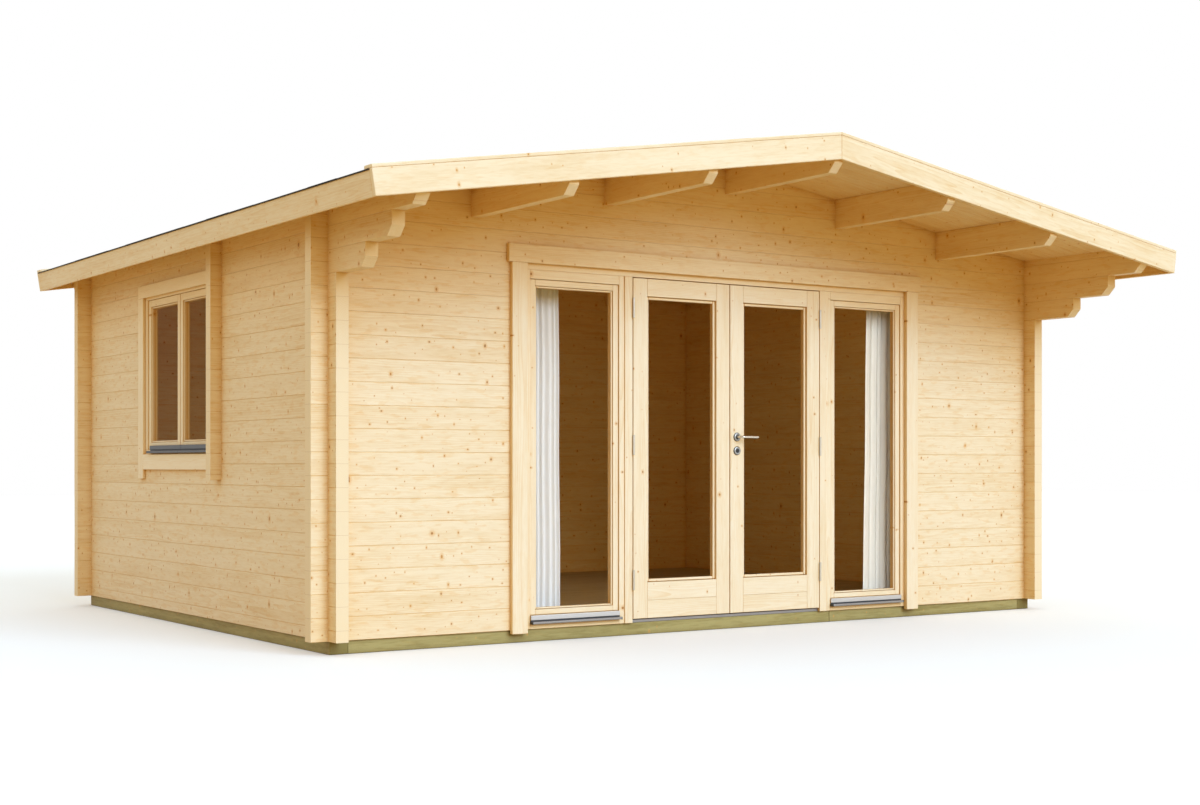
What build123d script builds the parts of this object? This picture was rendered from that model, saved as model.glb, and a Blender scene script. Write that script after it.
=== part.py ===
from build123d import *
import os
from math import cos, radians, sin, tan

# All sizes are in millimetres. X runs across the front, Y runs to the back, Z is up.
# While a piece is drawn, Y = 0 is the outer face of the front wall.

# Log walls
wall_width = 5200
wall_depth = 3870
wall_thickness = 70
log_pitch = 121
log_joint_depth = 2.5
log_end_reach = 95
course_count_below_gable = 17
cut_overrun = 20

# Base beams and floor
base_height = 70
base_beam_width = 105
base_setback = 15
floor_thickness = 26

# Roof
roof_pitch_degrees = 9
top_log_crown = 27
front_overhang = 990
rear_overhang = 358
eave_overhang = 248
deck_thickness = 20
covering_thickness = 6
covering_drip = 15
barge_thickness = 28
barge_height = 130
fascia_thickness = 20
fascia_height = 120
verge_strip_width = 80
verge_strip_thickness = 18

# Purlins
purlin_spacing = 865
purlin_width = 60
purlin_depth = 172
timber_end_chamfer = 50

# Stepped corbels: how far each log stops behind the one above it
upper_corbel_step = 256
lower_corbel_step = 281
rear_corbel_step = 120

# Glazed front: posts, rails and trims, by distance from the middle of the door
opening_half_width = 1455
jamb_width = 66
door_half_width = 705
mullion_width = 54
sidelight_post_width = 36
frame_head_height = 82
mullion_proud = 6
sash_stile = 45
sash_thickness = 45
sash_setback = 8
sidelight_low_rail = 75
sidelight_high_rail = 50
sash_top_rail = 44
sash_bottom_rail = 39
threshold_height = 18
threshold_setback = 20
trim_thickness = 28
side_trim_width = 98
side_trim_overlap = 35
side_trim_drop = 20
head_trim_height = 100
head_trim_overlap = 49
head_trim_end = 21

# Aluminium drip sills under the panes
drip_sill_reach = 32
drip_sill_height = 48
drip_sill_lip = 4
drip_sill_upstand = 14

# Door leaves
leaf_gap = 5
meeting_gap = 6
leaf_thickness = 54
leaf_stile = 98
leaf_top_rail = 100
leaf_bottom_rail = 206
bead_width = 16
bead_setback = 12
glass_thickness = 6

# Door hinges
hinge_height_shares = (0.114, 0.51, 0.912)
hinge_length = 115
hinge_radius = 6
hinge_face_gap = 1
hinge_flap_width = 32
hinge_flap_thickness = 2
hinge_running_gap = 0.3

# Lever and lock roses on the right leaf
lever_rise = 1045
keyhole_drop = 82
lever_backset = 50
lever_length = 125
lever_radius = 8
lever_stand_off = 52
spindle_clearance = 0.4
rose_radius = 26
rose_thickness = 8

# Side window in the left wall, just behind the stub of crossing log ends
brace_front = 1431
brace_reach = 67
window_brace_gap = 5
window_width = 1212
window_bottom_height = 1000
window_frame_width = 48
window_sill_height = 70
window_sash_stile = 52
window_sash_gap = 4
window_trim_thickness = 18
window_trim_width = 90
window_trim_overlap = 10
window_trim_drop = 115
window_sill_trim_drop = 57
window_sill_trim_height = 96
window_head_trim_overlap = 31
window_head_trim_height = 80

# Curtains and their rails
curtain_depth = 60
curtain_setback = 170
curtain_left_width = 446
curtain_left_lap = 45
curtain_right_width = 320
curtain_right_lap = 105
curtain_floor_gap = 12
curtain_hang_gap = 0.3
rail_radius = 10
rail_rise = 23
rail_overhang = 40
rail_bracket_width = 24

# Heights and lengths that follow from the sizes above
half_width = wall_width / 2
wall_base = base_height
log_half = log_pitch / 2
gable_base = wall_base + course_count_below_gable * log_pitch
roof_slope = tan(radians(roof_pitch_degrees))
roof_cosine = cos(radians(roof_pitch_degrees))
roof_sine = sin(radians(roof_pitch_degrees))
eave_x = half_width + eave_overhang
deck_rise = deck_thickness / roof_cosine
covering_rise = covering_thickness / roof_cosine
verge_rise = verge_strip_thickness / roof_cosine
roof_front = -front_overhang
roof_rear = wall_depth + rear_overhang
inner_front = roof_front + barge_thickness
inner_rear = roof_rear - barge_thickness
front_face_y = -(front_overhang + wall_depth + rear_overhang) / 2 + front_overhang
third_log_base = gable_base - log_pitch - log_half
second_log_base = third_log_base + log_pitch
top_log_base = second_log_base + log_pitch
eave_underside_height = top_log_base + log_pitch + top_log_crown
ridge_underside_height = eave_underside_height + half_width * roof_slope
second_log_front = inner_front + upper_corbel_step
third_log_front = second_log_front + lower_corbel_step
second_log_rear = inner_rear - rear_corbel_step
brace_rear = brace_front + wall_thickness
window_front = brace_rear + window_brace_gap
window_rear = window_front + window_width
window_top = second_log_base
window_trim_bottom = window_bottom_height - window_trim_drop
frame_head_low = gable_base - frame_head_height
sash_bottom_height = wall_base + sidelight_low_rail
sash_top_height = frame_head_low - sidelight_high_rail
head_trim_bottom = gable_base - head_trim_overlap
leaf_face_y = -mullion_proud
mullion_x = door_half_width + mullion_width
sidelight_x = mullion_x + sidelight_post_width
jamb_x = opening_half_width - jamb_width
leaf_bottom = wall_base + threshold_height + leaf_gap
leaf_top = frame_head_low - leaf_gap
lever_height = leaf_bottom + lever_rise
keyhole_height = lever_height - keyhole_drop
rail_height = gable_base + rail_rise
hinge_x = door_half_width - leaf_gap / 2
hinge_y = leaf_face_y - hinge_face_gap - hinge_radius
floor_top = wall_base + floor_thickness


def roof_underside(x):
    return ridge_underside_height - abs(x) * roof_slope


def block(x_from, x_to, y_from, y_to, z_from, z_to):
    size = Box(x_to - x_from, y_to - y_from, z_to - z_from, align=Align.MIN)
    return Pos(x_from, y_from, z_from) * size


def along_x(points, x_from, x_to):
    side = Plane(origin=(x_from, 0, 0), x_dir=(0, 1, 0), z_dir=(1, 0, 0))
    return extrude(side * make_face(Polyline(*points, close=True)), x_to - x_from)


def along_y(points, y_from, y_to):
    end = Plane(origin=(0, y_to, 0), x_dir=(1, 0, 0), z_dir=(0, -1, 0))
    return extrude(end * make_face(Polyline(*points, close=True)), y_to - y_from)


def both_sides(shape):
    return [shape, mirror(shape, about=Plane.YZ)]


def save(node, *solids):
    placed = [Pos(0, front_face_y, 0) * solid for shape in solids for solid in shape.solids()]
    shape = placed[0] if len(placed) == 1 else Compound(children=placed)
    export_step(shape, f"parts/{node}.step")


# Log courses: every wall is a section with a V at each joint, drawn along the logs.
# The face towards the back or the right gets its joints where it can be seen.
def course_joints(first, low, high):
    count = int((high - first) / log_pitch) + 1
    heights = [first + log_pitch * step for step in range(count)]
    return [z for z in heights if low + 2 * log_joint_depth < z < high - 2 * log_joint_depth]


def log_section(near, far, low, high, first, far_joints):
    cut = log_joint_depth
    joints = course_joints(first, low, high)
    rise = [(near + cut, low), (near, low + cut)]
    for z in joints:
        rise += [(near, z - cut), (near + cut, z), (near, z + cut)]
    rise += [(near, high - cut), (near + cut, high), (far - cut, high), (far, high - cut)]
    for z in reversed(joints) if far_joints else ():
        rise += [(far, z + cut), (far - cut, z), (far, z - cut)]
    return rise + [(far, low + cut), (far - cut, low)]


def logs_across(y_face, x_from, x_to, low, high, far_joints):
    section = log_section(y_face, y_face + wall_thickness, low, high, wall_base, far_joints)
    return along_x(section, x_from, x_to)


def logs_to_back(x_face, y_from, y_to, low, high, far_joints):
    section = log_section(x_face, x_face + wall_thickness, low, high, wall_base + log_half, far_joints)
    return along_y(section, y_from, y_to)


# Corner crossings: each log keeps its middle half where it passes through the other wall
crossing_x = (-half_width, half_width - wall_thickness)
crossing_y = (0, wall_depth - wall_thickness)
across_notch_share = 3 / 4
to_back_notch_share = 1 / 4


def notch_heights(first_share, low, high):
    first = wall_base + (first_share - 1) * log_pitch
    count = int((high - first) / log_pitch) + 1
    spans = [(first + log_pitch * step, first + log_pitch * step + log_half) for step in range(count)]
    return [(start, end) for start, end in spans if end > low and start < high]


# Above the top side log the gable fills the crossing by itself
def notch_logs_across(wall, low, high):
    limit = top_log_base + log_half
    spans = [span for span in notch_heights(across_notch_share, low, high) if span[0] < limit]
    return wall - [block(x, x + wall_thickness, y - cut_overrun, y + wall_thickness + cut_overrun, start, end)
                   for x in crossing_x for y in crossing_y for start, end in spans]


def notch_logs_to_back(wall, low, high):
    spans = [(start, end if end < top_log_base + log_pitch else ridge_underside_height)
             for start, end in notch_heights(to_back_notch_share, low, high)]
    return wall - [block(x - cut_overrun, x + wall_thickness + cut_overrun, y, y + wall_thickness, start, end)
                   for x in crossing_x for y in crossing_y for start, end in spans]


def under_roof():
    points = [(-eave_x, 0), (eave_x, 0), (eave_x, roof_underside(eave_x)),
              (0, ridge_underside_height), (-eave_x, roof_underside(eave_x))]
    return along_y(points, roof_front, roof_rear)


# Timber ends with the lower corner cut off, as on purlins and corbels
def chamfer_end(timber, y_end, inward, bottom, x_from, x_to):
    cut = timber_end_chamfer
    corner = [(y_end - inward * cut_overrun, bottom - cut_overrun),
              (y_end + inward * (cut + cut_overrun), bottom - cut_overrun),
              (y_end - inward * cut_overrun, bottom + cut + cut_overrun)]
    return timber - along_x(corner, x_from, x_to)


def purlin(x):
    half = purlin_width / 2
    bottom = roof_underside(x) - purlin_depth
    top = [(x + half, roof_underside(x + half)), (x - half, roof_underside(x - half))]
    if x == 0:
        top.insert(1, (0, ridge_underside_height))
    timber = along_y([(x - half, bottom), (x + half, bottom)] + top, inner_front, inner_rear)
    sides = (x - purlin_width, x + purlin_width)
    timber = chamfer_end(timber, inner_front, 1, bottom, *sides)
    return chamfer_end(timber, inner_rear, -1, bottom, *sides)


def corbel_log(x_face, y_from, y_to, low, high, cut_front, cut_rear):
    timber = logs_to_back(x_face, y_from, y_to, low, high, True) & under_roof()
    timber = notch_logs_to_back(timber, low, high)
    sides = (x_face - cut_overrun, x_face + wall_thickness + cut_overrun)
    if cut_front:
        timber = chamfer_end(timber, y_from, 1, low, *sides)
    if cut_rear:
        timber = chamfer_end(timber, y_to, -1, low, *sides)
    return timber


def base_and_floor():
    beam_x = half_width - base_setback
    beam_rear = wall_depth - base_setback
    side_beam = block(beam_x - base_beam_width, beam_x, base_setback, beam_rear, 0, base_height)
    save("base_beams_side", *both_sides(side_beam))
    inside = beam_x - base_beam_width
    front_beam = block(-inside, inside, base_setback, base_setback + base_beam_width, 0, base_height)
    rear_beam = block(-inside, inside, beam_rear - base_beam_width, beam_rear, 0, base_height)
    save("base_beams_long", front_beam, rear_beam)
    floor_x = half_width - wall_thickness
    floor = block(-floor_x, floor_x, wall_thickness, wall_depth - wall_thickness, wall_base, floor_top)
    save("floor_deck", floor)


def front_and_rear_walls(purlins):
    end_x = half_width + log_end_reach
    panel = notch_logs_across(
        logs_across(0, -end_x, -opening_half_width, wall_base, gable_base, False), wall_base, gable_base)
    left, right = both_sides(panel)
    save("front_wall_left", left)
    save("front_wall_right", right)
    ridge = ridge_underside_height + log_pitch
    gable = logs_across(0, -end_x, end_x, gable_base, ridge, False) & under_roof()
    rear = logs_across(wall_depth - wall_thickness, -end_x, end_x, wall_base, ridge, True) & under_roof()
    gable = notch_logs_across(gable, gable_base, ridge)
    rear = notch_logs_across(rear, wall_base, ridge)
    save("front_gable", gable - purlins)
    save("rear_wall", rear - purlins)


def side_walls():
    left_face = -half_width
    right_face = half_width - wall_thickness
    front_end = -log_end_reach
    rear_end = wall_depth + log_end_reach
    stack = (wall_base, third_log_base)
    front_stack = logs_to_back(left_face, front_end, window_front, *stack, False)
    save("left_wall_front", notch_logs_to_back(front_stack, *stack))
    rear_stack = logs_to_back(left_face, window_rear, rear_end, *stack, False)
    save("left_wall_rear", notch_logs_to_back(rear_stack, *stack))
    save("left_wall_under_window",
         logs_to_back(left_face, window_front, window_rear, wall_base, window_bottom_height, False))
    save("right_wall",
         notch_logs_to_back(logs_to_back(right_face, front_end, rear_end, *stack, True), *stack))
    third = (third_log_base, second_log_base)
    save("left_third_logs",
         corbel_log(left_face, third_log_front, window_front, *third, True, False),
         corbel_log(left_face, window_rear, rear_end, *third, False, False))
    save("right_third_log",
         corbel_log(right_face, third_log_front, rear_end, *third, True, False))
    second = (second_log_base, top_log_base)
    top = (top_log_base, ridge_underside_height)
    for side, face in (("left", left_face), ("right", right_face)):
        save(f"{side}_second_log",
             corbel_log(face, second_log_front, second_log_rear, *second, True, True))
        save(f"{side}_top_log", corbel_log(face, inner_front, inner_rear, *top, True, True))


def window_brace():
    outer = -half_width - brace_reach
    stub = logs_across(brace_front, outer, -half_width, window_trim_bottom, ridge_underside_height, True)
    save("window_brace", stub & under_roof())


def sloped_layer(x_to, under_lift, over_lift, y_from, y_to):
    points = [(0, ridge_underside_height + under_lift), (x_to, roof_underside(x_to) + under_lift),
              (x_to, roof_underside(x_to) + over_lift), (0, ridge_underside_height + over_lift)]
    return along_y(points, y_from, y_to)


def barge_board(y_from):
    top_lift = deck_rise + covering_rise
    drop = barge_height / roof_cosine
    end_top = (eave_x, roof_underside(eave_x) + top_lift)
    end_low = (eave_x - barge_height * roof_sine, end_top[1] - barge_height * roof_cosine)
    points = [(0, ridge_underside_height + top_lift), end_top, end_low,
              (0, ridge_underside_height + top_lift - drop)]
    return along_y(points, y_from, y_from + barge_thickness)


def roof(purlins):
    ridge_timber, inner_right, outer_right, inner_left, outer_left = purlins
    save("ridge_purlin", ridge_timber)
    save("purlins_right", inner_right, outer_right)
    save("purlins_left", inner_left, outer_left)
    top_lift = deck_rise + covering_rise
    deck_x = eave_x - fascia_thickness
    fascia_top = [(deck_x, roof_underside(deck_x) + deck_rise), (eave_x, roof_underside(eave_x) + deck_rise)]
    fascia_low = fascia_top[1][1] - fascia_height
    fascia_points = fascia_top + [(eave_x, fascia_low), (deck_x, fascia_low)]
    strips = [(roof_front, roof_front + verge_strip_width), (roof_rear - verge_strip_width, roof_rear)]
    halves = {
        "roof_deck": [sloped_layer(deck_x, 0, deck_rise, inner_front, inner_rear)],
        "roof_covering": [sloped_layer(eave_x + covering_drip, deck_rise, top_lift, inner_front, inner_rear)],
        "barge_boards": [barge_board(roof_front), barge_board(inner_rear)],
        "verge_strips": [sloped_layer(eave_x, top_lift, top_lift + verge_rise, *span) for span in strips],
    }
    for name, right_pieces in halves.items():
        save(f"{name}_right", *right_pieces)
        save(f"{name}_left", *[mirror(piece, about=Plane.YZ) for piece in right_pieces])
    save("eave_fascias", *both_sides(along_y(fascia_points, inner_front, inner_rear)))


# A rectangular ring of stiles and rails lying in the XZ plane
def ring(x_from, x_to, z_from, z_to, stile, low_rail, high_rail, y_from, y_to):
    outer = block(x_from, x_to, y_from, y_to, z_from, z_to)
    return outer - block(x_from + stile, x_to - stile, y_from - cut_overrun, y_to + cut_overrun,
                         z_from + low_rail, z_to - high_rail)


def drip_section(face, low):
    lip = drip_sill_lip
    front = face - drip_sill_reach
    return [(face, low), (front + lip, low), (front + lip, low + lip), (front, low + lip),
            (front, low + drip_sill_upstand), (face, low + drip_sill_height)]


def front_frame():
    jamb = block(jamb_x, opening_half_width, 0, wall_thickness, wall_base, frame_head_low)
    mullion = block(door_half_width, mullion_x, leaf_face_y, wall_thickness, wall_base, frame_head_low)
    sidelight_post = block(mullion_x, sidelight_x, 0, wall_thickness, wall_base, frame_head_low)
    save("door_frame_posts", *both_sides(jamb), *both_sides(mullion), *both_sides(sidelight_post))
    save("door_frame_head", block(-opening_half_width, opening_half_width, 0, wall_thickness,
                                  frame_head_low, gable_base))
    save("door_threshold", block(-door_half_width, door_half_width, leaf_face_y + threshold_setback,
                                 wall_thickness, wall_base, wall_base + threshold_height))
    low_rail = block(sidelight_x, jamb_x, 0, wall_thickness, wall_base, sash_bottom_height)
    high_rail = block(sidelight_x, jamb_x, 0, wall_thickness, sash_top_height, frame_head_low)
    save("sidelight_rails", *both_sides(low_rail), *both_sides(high_rail))
    sash_back = sash_setback + sash_thickness
    sash = ring(sidelight_x, jamb_x, sash_bottom_height, sash_top_height, sash_stile,
                sash_bottom_rail, sash_top_rail, sash_setback, sash_back)
    right_sash, left_sash = both_sides(sash)
    save("sidelight_sash_left", left_sash)
    save("sidelight_sash_right", right_sash)
    trim_x = opening_half_width - side_trim_overlap
    side_trim = block(trim_x, trim_x + side_trim_width, -trim_thickness, 0,
                      wall_base - side_trim_drop, head_trim_bottom)
    save("front_trim_sides", *both_sides(side_trim))
    head_x = trim_x + side_trim_width + head_trim_end
    save("front_trim_head", block(-head_x, head_x, -trim_thickness, 0, head_trim_bottom,
                                  head_trim_bottom + head_trim_height))


def front_pane():
    middle = sash_setback + sash_thickness / 2
    return block(sidelight_x + sash_stile, jamb_x - sash_stile, middle - glass_thickness / 2,
                 middle + glass_thickness / 2, sash_bottom_height + sash_bottom_rail,
                 sash_top_height - sash_top_rail)


def front_drip_sill():
    section = drip_section(0, sash_bottom_height - drip_sill_height)
    return along_x(section, sidelight_x, jamb_x)


# The side window is drawn like the front, across X, and then turned into the left wall
def onto_left_wall(shape):
    return Pos(-half_width, 0, 0) * Rot(0, 0, -90) * shape


def side_window():
    front, rear = -window_rear, -window_front
    inside_from = front + window_frame_width
    inside_to = rear - window_frame_width
    sill_top = window_bottom_height + window_sill_height
    head_low = window_top - window_frame_width
    sill = block(front, rear, 0, wall_thickness, window_bottom_height, sill_top)
    head = block(front, rear, 0, wall_thickness, head_low, window_top)
    save("window_frame_rails", onto_left_wall(sill), onto_left_wall(head))
    posts = [block(front, inside_from, 0, wall_thickness, sill_top, head_low),
             block(inside_to, rear, 0, wall_thickness, sill_top, head_low)]
    save("window_frame_posts", *[onto_left_wall(post) for post in posts])
    middle = (front + rear) / 2
    half_gap = window_sash_gap / 2
    pane_y = sash_setback + sash_thickness / 2
    sashes, panes = [], []
    for x_from, x_to in ((inside_from, middle - half_gap), (middle + half_gap, inside_to)):
        sashes.append(ring(x_from, x_to, sill_top, head_low, window_sash_stile, window_sash_stile,
                           window_sash_stile, sash_setback, sash_setback + sash_thickness))
        panes.append(block(x_from + window_sash_stile, x_to - window_sash_stile,
                           pane_y - glass_thickness / 2, pane_y + glass_thickness / 2,
                           sill_top + window_sash_stile, head_low - window_sash_stile))
    save("window_sashes", *[onto_left_wall(sash) for sash in sashes])
    trim_inner = front + window_trim_overlap
    trim_outer = trim_inner - window_trim_width
    brace_side = -brace_rear
    head_trim_low = window_top - window_head_trim_overlap
    sill_trim_low = window_bottom_height - window_sill_trim_drop
    boards = [block(trim_outer, trim_inner, -window_trim_thickness, 0, window_trim_bottom, head_trim_low),
              block(trim_outer, brace_side, -window_trim_thickness, 0,
                    head_trim_low, head_trim_low + window_head_trim_height),
              block(trim_inner, brace_side, -window_trim_thickness, 0,
                    sill_trim_low, sill_trim_low + window_sill_trim_height)]
    for name, board in zip(("side", "head", "sill"), boards):
        save(f"window_trim_{name}", onto_left_wall(board))
    drip = along_x(drip_section(0, sill_top - drip_sill_height / 2), trim_inner, brace_side)
    save("drip_sills", *both_sides(front_drip_sill()), onto_left_wall(drip))
    save("fixed_glass", *both_sides(front_pane()), *[onto_left_wall(pane) for pane in panes])


def spindle_bore(y_from, y_to):
    centre_x = meeting_gap / 2 + lever_backset
    radius = lever_radius + spindle_clearance
    rod = Cylinder(radius, y_to - y_from, align=(Align.CENTER, Align.CENTER, Align.MIN))
    return Pos(centre_x, y_from, lever_height) * Rot(-90, 0, 0) * rod


def door_leaf(bored):
    x_from, x_to = meeting_gap / 2, door_half_width - leaf_gap
    back = leaf_face_y + leaf_thickness
    leaf = block(x_from, x_to, leaf_face_y, back, leaf_bottom, leaf_top)
    opening = (x_from + leaf_stile, x_to - leaf_stile,
               leaf_bottom + leaf_bottom_rail, leaf_top - leaf_top_rail)
    for y_from, y_to in ((leaf_face_y - cut_overrun, leaf_face_y + bead_setback),
                         (back - bead_setback, back + cut_overrun)):
        leaf -= block(opening[0], opening[1], y_from, y_to, opening[2], opening[3])
    sight = (opening[0] + bead_width, opening[1] - bead_width,
             opening[2] + bead_width, opening[3] - bead_width)
    leaf -= block(sight[0], sight[1], leaf_face_y, back, sight[2], sight[3])
    if bored:
        leaf -= spindle_bore(leaf_face_y - cut_overrun, back + cut_overrun)
    middle = leaf_face_y + leaf_thickness / 2
    pane = block(sight[0], sight[1], middle - glass_thickness / 2, middle + glass_thickness / 2,
                 sight[2], sight[3])
    return leaf, pane


# Lift-off hinges with their flaps in the gap: the lower one sits on the mullion, the upper one on the leaf
def hinge_half(z_from, z_to, inward):
    knuckle = Pos(hinge_x, hinge_y, z_from) * Cylinder(
        hinge_radius, z_to - z_from, align=(Align.CENTER, Align.CENTER, Align.MIN))
    seat_x = hinge_x - inward * leaf_gap / 2
    flap_x = sorted((seat_x, seat_x + inward * hinge_flap_thickness))
    flap = block(*flap_x, hinge_y, leaf_face_y + hinge_flap_width, z_from, z_to)
    return knuckle + flap


def doors():
    right_leaf, right_pane = door_leaf(True)
    left_leaf, left_pane = [mirror(shape, about=Plane.YZ) for shape in door_leaf(False)]
    save("door_leaf_right", right_leaf)
    save("door_leaf_left", left_leaf)
    save("door_glass_right", right_pane)
    save("door_glass_left", left_pane)
    frame_halves, leaf_halves = [], []
    for share in hinge_height_shares:
        centre = leaf_bottom + share * (leaf_top - leaf_bottom)
        low, high = centre - hinge_length / 2, centre + hinge_length / 2
        frame_halves.append(hinge_half(low, centre - hinge_running_gap / 2, -1))
        leaf_halves.append(hinge_half(centre + hinge_running_gap / 2, high, 1))
    save("hinges_frame", *[half for shape in frame_halves for half in both_sides(shape)])
    save("hinges_right", *leaf_halves)
    save("hinges_left", *[mirror(shape, about=Plane.YZ) for shape in leaf_halves])


# The lever is one bent rod: an arm outside, a spindle through the leaf and an arm inside
def lever():
    centre_x = meeting_gap / 2 + lever_backset
    tip_x = centre_x + lever_length
    outside = leaf_face_y - lever_stand_off
    inside = leaf_face_y + leaf_thickness + lever_stand_off
    path = Polyline((tip_x, outside, lever_height), (centre_x, outside, lever_height),
                    (centre_x, inside, lever_height), (tip_x, inside, lever_height))
    section = Plane(origin=path @ 0, z_dir=path % 0) * Circle(lever_radius)
    return sweep(section, path=path, transition=Transition.RIGHT)


def door_furniture():
    centre_x = meeting_gap / 2 + lever_backset
    back = leaf_face_y + leaf_thickness
    save("door_lever", lever())
    on_base = (Align.CENTER, Align.CENTER, Align.MIN)
    disc = Cylinder(rose_radius, rose_thickness, align=on_base)
    bore = Cylinder(lever_radius + spindle_clearance, rose_thickness, align=on_base)
    roses = []
    for height, rose in ((lever_height, disc - bore), (keyhole_height, disc)):
        for y_from in (leaf_face_y - rose_thickness, back):
            roses.append(Pos(centre_x, y_from, height) * Rot(-90, 0, 0) * rose)
    save("lock_roses", *roses)


def curtains():
    rails = []
    left_from = -opening_half_width - curtain_left_lap
    right_to = opening_half_width + curtain_right_lap
    for side, x_from, x_to in (("left", left_from, left_from + curtain_left_width),
                               ("right", right_to - curtain_right_width, right_to)):
        middle = curtain_setback + curtain_depth / 2
        cloth_top = rail_height - rail_radius - curtain_hang_gap
        save(f"curtain_{side}", block(x_from, x_to, curtain_setback, curtain_setback + curtain_depth,
                                      floor_top + curtain_floor_gap, cloth_top))
        rod_length = x_to - x_from + 2 * rail_overhang
        rod = Cylinder(rail_radius, rod_length, align=(Align.CENTER, Align.CENTER, Align.MIN))
        rail = Pos(x_from - rail_overhang, middle, rail_height) * Rot(0, 90, 0) * rod
        for x in (x_from - rail_overhang, x_to + rail_overhang - rail_bracket_width):
            rail += block(x, x + rail_bracket_width, wall_thickness, middle,
                          rail_height - rail_radius, rail_height + rail_radius)
        rails.append(rail)
    save("curtain_rails", *rails)


def main():
    os.makedirs("parts", exist_ok=True)
    places = (0, purlin_spacing, 2 * purlin_spacing, -purlin_spacing, -2 * purlin_spacing)
    purlins = [purlin(x) for x in places]
    base_and_floor()
    front_and_rear_walls(purlins)
    side_walls()
    window_brace()
    roof(purlins)
    front_frame()
    side_window()
    doors()
    door_furniture()
    curtains()


main()
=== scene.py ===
# %% [markdown]
# # A spruce garden chalet
# This lesson dresses a log cabin: walls of stacked spruce logs that cross at the corners, a low gabled
# roof with a deep canopy, and a glazed front with a double door. The construction comes in as a fixed
# frame of solids in metres. Nothing in it is moved: finishes go onto it, and finer pieces stand in for
# the plain ones.

# %% Load the construction
import random
from math import atan, cos, pi, radians, sin, tan, tau

import bmesh
import bpy
from mathutils import Euler, Matrix, Vector


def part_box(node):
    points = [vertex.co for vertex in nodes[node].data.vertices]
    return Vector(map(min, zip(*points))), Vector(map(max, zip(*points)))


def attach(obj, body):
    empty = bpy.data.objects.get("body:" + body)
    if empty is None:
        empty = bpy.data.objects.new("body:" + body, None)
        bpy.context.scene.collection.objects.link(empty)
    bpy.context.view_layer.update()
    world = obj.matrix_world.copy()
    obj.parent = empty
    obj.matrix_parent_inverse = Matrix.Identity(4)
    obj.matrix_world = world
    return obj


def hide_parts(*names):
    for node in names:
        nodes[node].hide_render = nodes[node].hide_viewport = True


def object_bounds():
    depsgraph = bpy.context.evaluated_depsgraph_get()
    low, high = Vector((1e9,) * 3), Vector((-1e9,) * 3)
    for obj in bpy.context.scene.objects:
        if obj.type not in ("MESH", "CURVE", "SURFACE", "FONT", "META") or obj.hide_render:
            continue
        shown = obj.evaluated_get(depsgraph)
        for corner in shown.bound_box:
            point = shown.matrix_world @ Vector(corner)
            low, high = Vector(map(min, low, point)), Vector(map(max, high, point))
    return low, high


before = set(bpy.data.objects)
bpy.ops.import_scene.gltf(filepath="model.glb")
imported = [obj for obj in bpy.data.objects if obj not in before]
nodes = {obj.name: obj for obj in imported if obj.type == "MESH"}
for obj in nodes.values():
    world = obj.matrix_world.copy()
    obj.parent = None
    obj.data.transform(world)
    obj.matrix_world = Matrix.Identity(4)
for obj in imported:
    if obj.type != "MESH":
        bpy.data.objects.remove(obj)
cad_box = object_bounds()
scene = bpy.context.scene


def add_object(name, data):
    made = bpy.data.objects.new(name, data)
    scene.collection.objects.link(made)
    return made


print(len(nodes), "construction nodes, size", [round(x, 3) for x in cad_box[1] - cad_box[0]])

# %% [markdown]
# ## Where the picture is taken from
# The reference picture has level, upright verticals, so the camera looks level and the horizon is moved
# with the lens shift. Its focal length and place could be found by eye, but a fit is steadier: they were
# worked out by laying the corners of the construction over those in the picture.

# %% Camera
picture_width, picture_height = 1200, 805
focal_length_pixels = 1732.9
horizon_row = 465.6
camera_place = (-6.399, -9.708, 0.968)
camera_yaw = radians(34.08)
sensor_width = 36.0

camera = add_object("camera", bpy.data.cameras.new("camera"))
camera.data.sensor_width = sensor_width
camera.data.lens = focal_length_pixels / picture_width * sensor_width
camera.data.shift_y = (horizon_row - picture_height / 2) / picture_width
camera.location = camera_place
camera.rotation_euler = (radians(90), 0, -camera_yaw)
scene.camera = camera
print("lens", round(camera.data.lens, 2), "mm, shift", round(camera.data.shift_y, 4))

# %% [markdown]
# ## Short words for shader nodes
# A procedural finish is a small network of nodes. It could be drawn by hand in the editor, but written out it
# comes out the same every time. These helpers keep it readable: they add a node, do a sum, make a soft step,
# mix two colours or two shaders, join numbers into a point, add a noise or a bump, and start a group. A value
# may be a number or the output of another node.

# %% Node helpers
def feed(tree, socket, value):
    if isinstance(value, bpy.types.NodeSocket):
        tree.links.new(value, socket)
    else:
        socket.default_value = value


def fill(tree, node, values):
    for name, value in values.items():
        feed(tree, node.inputs[name], value)


def add_node(tree, kind, inputs=(), **settings):
    made = tree.nodes.new(kind)
    for name, value in settings.items():
        setattr(made, name, value)
    fill(tree, made, dict(inputs))
    return made


def calc(tree, operation, *values):
    made = add_node(tree, "ShaderNodeMath", operation=operation)
    for socket, value in zip(made.inputs, values):
        feed(tree, socket, value)
    return made.outputs[0]


def soft_step(tree, value, start, end, low=0.0, high=1.0):
    inputs = {"Value": value, "From Min": start, "From Max": end, "To Min": low, "To Max": high}
    return add_node(tree, "ShaderNodeMapRange", inputs, interpolation_type="SMOOTHSTEP").outputs[0]


def mix_colour(tree, share, first, second, way="MIX"):
    made = add_node(tree, "ShaderNodeMix", data_type="RGBA", blend_type=way)
    for index, value in ((0, share), (6, first), (7, second)):
        feed(tree, made.inputs[index], value)
    return made.outputs[2]


def mix_shaders(tree, share, first, second, output):
    made = add_node(tree, "ShaderNodeMixShader", {"Fac": share, 1: first, 2: second})
    tree.links.new(made.outputs[0], tree.nodes[output].inputs["Surface"])


def point(tree, x=0.0, y=0.0, z=0.0):
    return add_node(tree, "ShaderNodeCombineXYZ", {"X": x, "Y": y, "Z": z}).outputs[0]


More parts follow.
